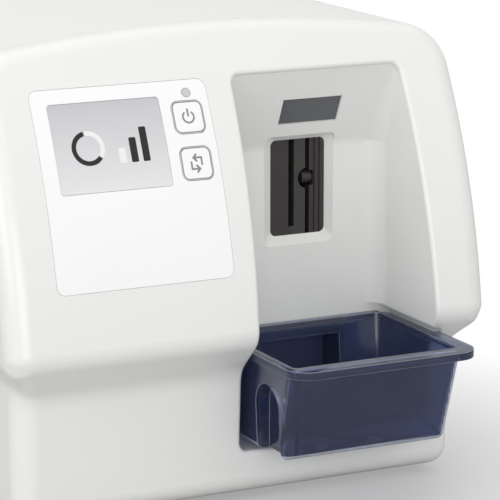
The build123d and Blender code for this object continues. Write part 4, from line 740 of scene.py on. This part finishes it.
class OBJECT_OT_scanner_screws(Operator):
    """Fit cross-recessed screws in the rear panel and the base"""

    bl_idname = "object.scanner_screws"
    bl_label = "Housing screws"

    def execute(self, context):
        head_r, head_h, rim_round = 2.4 * MM, 1.6 * MM, 0.4 * MM
        shank_r, shank_length = 1.25 * MM, 7.4 * MM
        slot_size = (2.9 * MM, 0.62 * MM, 1.9 * MM)
        slot_floor_shares = (0.5, 0.75, 1)
        near = 0.01 * MM
        # Places in millimetres: X and Z on the rear panel, X on the base
        panel_screws, panel_y = ((85, 36), (-85, 36), (92.5, 160), (-92.5, 160)), 159.4 * MM
        base_screws, base_y, base_z = (60, -60), -75.72 * MM, 1.9 * MM
        # From one screw to the next, in radians: no two stop at the same angle
        turn_between = 0.5

        clear_selection()
        bpy.ops.mesh.primitive_cylinder_add(
            vertices=48, radius=head_r, depth=head_h, location=(0, 0, -head_h / 2))
        head = start_piece("screw_pattern")
        # Round the rim of the head
        pick(head, lambda c: c.z > -near and c.length > 0.9 * head_r, "EDGE")
        bpy.ops.mesh.bevel(offset=rim_round, segments=4)
        # Draw the shank down from the underside
        pick(head, lambda c: c.z < -head_h + near, "FACE")
        bpy.ops.mesh.inset(thickness=head_r - shank_r)
        bpy.ops.mesh.extrude_region_move(TRANSFORM_OT_translate={"value": (0, 0, -shank_length)})
        bpy.ops.object.mode_set(mode="OBJECT")
        for turn in (0, math.pi / 2):
            clear_selection()
            bpy.ops.mesh.primitive_cube_add(size=1, location=(0, 0, 0), rotation=(0, 0, turn))
            cutter = bpy.context.object
            cutter.scale = slot_size
            apply_place(cutter)
            bpy.ops.object.mode_set(mode="EDIT")
            # Taper the slot towards its floor
            pick(cutter, lambda c: c.z < 0)
            bpy.ops.transform.resize(value=slot_floor_shares)
            bpy.ops.object.mode_set(mode="OBJECT")
            apply_modifier(head, "BOOLEAN", object=cutter, operation="DIFFERENCE", solver="EXACT")
            discard(cutter)
        select_only(head)
        bpy.ops.object.shade_smooth_by_angle(angle=math.radians(35))

        # Outward normal: back for the panel, down for the base
        back = Matrix.Rotation(-math.pi / 2, 4, "X")
        down = Matrix.Rotation(math.pi, 4, "X")
        places = [((x * MM, panel_y, z * MM), back) for x, z in panel_screws]
        places += [((x * MM, base_y, base_z), down) for x in base_screws]
        twins = [copy_at(head, Matrix.Translation(place) @ turn
                         @ Matrix.Rotation(turn_between * n, 4, "Z"))
                 for n, (place, turn) in enumerate(places)]
        discard(head)
        screws = join(twins, "housing_screw_set")
        zinc = brushed_metal("zinc_plated_head", "#b4b6ba", 0, 0.28, 0.3)
        dress(screws, zinc, "housing")
        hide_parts("housing_screws")
        return {"FINISHED"}


class OBJECT_OT_scanner_contacts(Operator):
    """Fit the sprung contacts inside the network socket"""

    bl_idname = "object.scanner_contacts"
    bl_label = "Socket contacts"

    def execute(self, context):
        strip_width, strip_round = 0.4 * MM, 0.08 * MM
        # Out of the root, then bowed down and back up like the real spring, in millimetres
        run = ((0, 1.2, 0), (0, 2.6, -1.6), (0, 1.8, -1.5), (0, 0.7, 0.2))
        first_mm, pitch_mm, count = -63.57, 1.02, 8
        root_y, root_z = 147.6 * MM, 24.4 * MM

        clear_selection()
        bpy.ops.mesh.primitive_plane_add(
            size=strip_width, location=(0, 0, 0), rotation=(math.pi / 2, 0, 0))
        wire = start_piece("contact_pattern")
        bpy.ops.mesh.select_all(action="SELECT")
        for step in run:
            bpy.ops.mesh.extrude_region_move(
                TRANSFORM_OT_translate={"value": [v * MM for v in step]})
        bpy.ops.mesh.select_all(action="SELECT")
        bpy.ops.mesh.normals_make_consistent(inside=False)
        bpy.ops.object.mode_set(mode="OBJECT")
        apply_modifier(wire, "BEVEL", width=strip_round, segments=2)
        twins = [copy_at(wire, Matrix.Translation(((first_mm + pitch_mm * n) * MM, root_y, root_z)))
                 for n in range(count)]
        discard(wire)
        contacts = join(twins, "socket_contacts")
        gold = brushed_metal("gold_flashed_contact", "#d9b45a", 1, 0.22, 0.1)
        dress(contacts, gold, "housing")
        return {"FINISHED"}


class OBJECT_OT_scanner_tray(Operator):
    """Round the tray's moulded edges and paint pale highlights on them, where they catch the light"""

    bl_idname = "object.scanner_tray"
    bl_label = "Tray"

    def execute(self, context):
        look = context.scene.scanner_shell
        edge_round, sharp = 0.4 * MM, math.radians(40)
        # How far the painted highlight strips reach above the tray's lowest point, under its walls
        # and up a corner
        under_top, corner_top = 3.6 * MM, 36 * MM
        # Material slot of the painted highlight on the rounded edges
        highlight_index = 1

        tray = bpy.data.objects.new("tray_moulding", nodes["collection_tray"].data.copy())
        context.scene.collection.objects.link(tray)
        select_only(tray)
        bpy.ops.object.mode_set(mode="EDIT")
        bpy.ops.mesh.select_all(action="SELECT")
        bpy.ops.mesh.remove_doubles(threshold=0.002 * MM)
        bpy.ops.mesh.dissolve_limited(angle_limit=math.radians(0.5))
        bpy.ops.object.mode_set(mode="OBJECT")
        dress(tray, tray_plastic("blue_polycarbonate_moulding", look.tray), "tray")
        tray.data.materials.append(tray_edge_highlight("tray_edge_painted_highlight", look.tray_edge_highlight))
        apply_modifier(tray, "BEVEL", width=edge_round, segments=3, limit_method="ANGLE",
                       angle_limit=sharp, material=highlight_index)
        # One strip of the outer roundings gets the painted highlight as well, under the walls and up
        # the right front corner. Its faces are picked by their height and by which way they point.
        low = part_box("collection_tray")[0]
        for face in tray.data.polygons:
            normal, height = face.normal, face.center.z
            under = height < low[2] + under_top and -0.9 < normal.z < -0.35
            corner = abs(normal.z) < 0.35 and normal.y < -0.3 and 0.3 < normal.x < 0.75
            if (under or corner) and height < low[2] + corner_top:
                face.material_index = highlight_index
        select_only(tray)
        bpy.ops.object.shade_smooth_by_angle(angle=math.radians(30))
        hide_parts("collection_tray")
        return {"FINISHED"}


def paper_floor(name):
    """Matt card under a painted white glow that the camera alone sees, so that it fades to white a
    step away from the scanner.
    """
    material, tree, place = start_material(name)
    fibre = add_node(tree, "ShaderNodeTexNoise", {"Scale": 300.0}, place)
    matt = add_node(tree, "ShaderNodeMapRange", {"To Min": 0.8, "To Max": 0.9}, {
        "Value": fibre.outputs["Fac"]})
    paper = add_node(tree, "ShaderNodeBsdfPrincipled", {
        "Base Color": rgba("#b6b6b7"), "Specular IOR Level": 0.1}, {
        "Roughness": matt.outputs["Result"]})
    path = add_node(tree, "ShaderNodeLightPath")
    glow = add_node(tree, "ShaderNodeEmission", {"Color": rgba("#ffffff"), "Strength": 1.0})
    # The camera sees a third of white up to 100 mm from a point 60 mm in front of the middle,
    # and nothing but white from 240 mm on
    ahead = add_node(tree, "ShaderNodeVectorMath", {"operation": "ADD", 1: (0.0, 0.06, 0.0)}, {
        0: place["Vector"]})
    reach = add_node(tree, "ShaderNodeVectorMath", {"operation": "LENGTH"}, {
        0: ahead.outputs["Vector"]})
    share = add_node(tree, "ShaderNodeMapRange", {
        "From Min": 0.1, "From Max": 0.24, "To Min": 0.33, "To Max": 1.0}, {
        "Value": reach.outputs["Value"]})
    seen = add_node(tree, "ShaderNodeMath", {"operation": "MULTIPLY"}, {
        0: share.outputs["Result"], 1: path.outputs["Is Camera Ray"]})
    lift = add_node(tree, "ShaderNodeMixShader", None, {
        0: seen.outputs["Value"], 1: paper.outputs["BSDF"], 2: glow.outputs["Emission"]})
    add_node(tree, "ShaderNodeOutputMaterial", None, {"Surface": lift.outputs["Shader"]})
    return material


def even_sky(name, strength):
    """An even light, which is plain white to the camera and through clear plastic."""
    world = bpy.data.worlds.new(name)
    world.use_nodes = True
    tree = world.node_tree
    tree.nodes.clear()
    path = add_node(tree, "ShaderNodeLightPath")
    even = add_node(tree, "ShaderNodeBackground", {"Color": rgba("#ffffff"), "Strength": strength})
    white = add_node(tree, "ShaderNodeBackground", {"Color": rgba("#ffffff"), "Strength": 1.0})
    seen = add_node(tree, "ShaderNodeMath", {"operation": "MAXIMUM"}, {
        0: path.outputs["Is Camera Ray"], 1: path.outputs["Is Transmission Ray"]})
    both = add_node(tree, "ShaderNodeMixShader", None, {
        0: seen.outputs["Value"], 1: even.outputs["Background"], 2: white.outputs["Background"]})
    add_node(tree, "ShaderNodeOutputWorld", None, {"Surface": both.outputs["Shader"]})
    return world


class OBJECT_OT_scanner_stage(Operator):
    """Build the floor, the lights and the camera"""

    bl_idname = "object.scanner_stage"
    bl_label = "Studio"

    def execute(self, context):
        studio = context.scene.scanner_studio
        clear_selection()
        bpy.ops.mesh.primitive_plane_add(size=14.0, location=(0, 0, 0))
        floor = start_piece("studio_floor")
        bpy.ops.mesh.subdivide(number_cuts=3)
        bpy.ops.object.mode_set(mode="OBJECT")
        floor.data.materials.append(paper_floor("paper_floor"))
        context.scene.world = even_sky("studio", studio.sky)

        # Each lamp's place, the point that it faces, its width in metres and its power
        key = studio.key_power
        for name, place, target, width, power in (
                ("softbox_left", (-1.75, -0.75, 0.8), (0, -0.05, 0.1), 1.2, key),
                ("softbox_front", (-0.45, -1.65, 0.22), (0.02, -0.08, 0.1), 1.0,
                 key * studio.front_share),
                ("softbox_top", (0.1, 0.1, 1.6), (0, 0, 0.1), 1.4, key * studio.top_share)):
            light = bpy.data.lights.new(name, "AREA")
            light.energy = power
            light.size = width
            lamp = bpy.data.objects.new(name, light)
            context.scene.collection.objects.link(lamp)
            lamp.location = place
            aim = Vector(target) - Vector(place)
            lamp.rotation_euler = aim.to_track_quat("-Z", "Y").to_euler()

        camera = bpy.data.objects.new("camera", bpy.data.cameras.new("camera"))
        context.scene.collection.objects.link(camera)
        camera.data.lens = studio.focal
        camera.data.sensor_width = 36.0
        camera.data.clip_start = 0.01
        camera.data.clip_end = 50.0
        camera.location = studio.place
        camera.rotation_euler = (math.pi / 2 - studio.elevation, 0, -studio.azimuth)
        context.scene.camera = camera
        context.scene.view_settings.view_transform = "Standard"
        return {"FINISHED"}


class VIEW3D_PT_scanner(Panel):
    """Lists the scanner's operators"""

    bl_label = "Plate Scanner"
    bl_space_type = "VIEW_3D"
    bl_region_type = "UI"
    bl_category = "Scanner"

    def draw(self, context):
        for operator in operators:
            self.layout.operator(operator.bl_idname)


groups = (ShellLook, MarkSizes, StudioSettings)
operators = (
    OBJECT_OT_scanner_finishes,
    OBJECT_OT_scanner_key_prints,
    OBJECT_OT_scanner_display_marks,
    OBJECT_OT_scanner_screws,
    OBJECT_OT_scanner_contacts,
    OBJECT_OT_scanner_tray,
    OBJECT_OT_scanner_stage,
)


def register():
    for item in (*groups, *operators, VIEW3D_PT_scanner):
        bpy.utils.register_class(item)
    bpy.types.Scene.scanner_shell = PointerProperty(type=ShellLook)
    bpy.types.Scene.scanner_marks = PointerProperty(type=MarkSizes)
    bpy.types.Scene.scanner_studio = PointerProperty(type=StudioSettings)


def unregister():
    del bpy.types.Scene.scanner_studio
    del bpy.types.Scene.scanner_marks
    del bpy.types.Scene.scanner_shell
    for item in reversed((*groups, *operators, VIEW3D_PT_scanner)):
        bpy.utils.unregister_class(item)


def main():
    """Runs every step in order."""
    register()
    bpy.ops.object.scanner_finishes()
    bpy.ops.object.scanner_key_prints()
    bpy.ops.object.scanner_display_marks()
    bpy.ops.object.scanner_screws()
    bpy.ops.object.scanner_contacts()
    bpy.ops.object.scanner_tray()
    bpy.ops.object.scanner_stage()


if __name__ == "__main__":
    main()
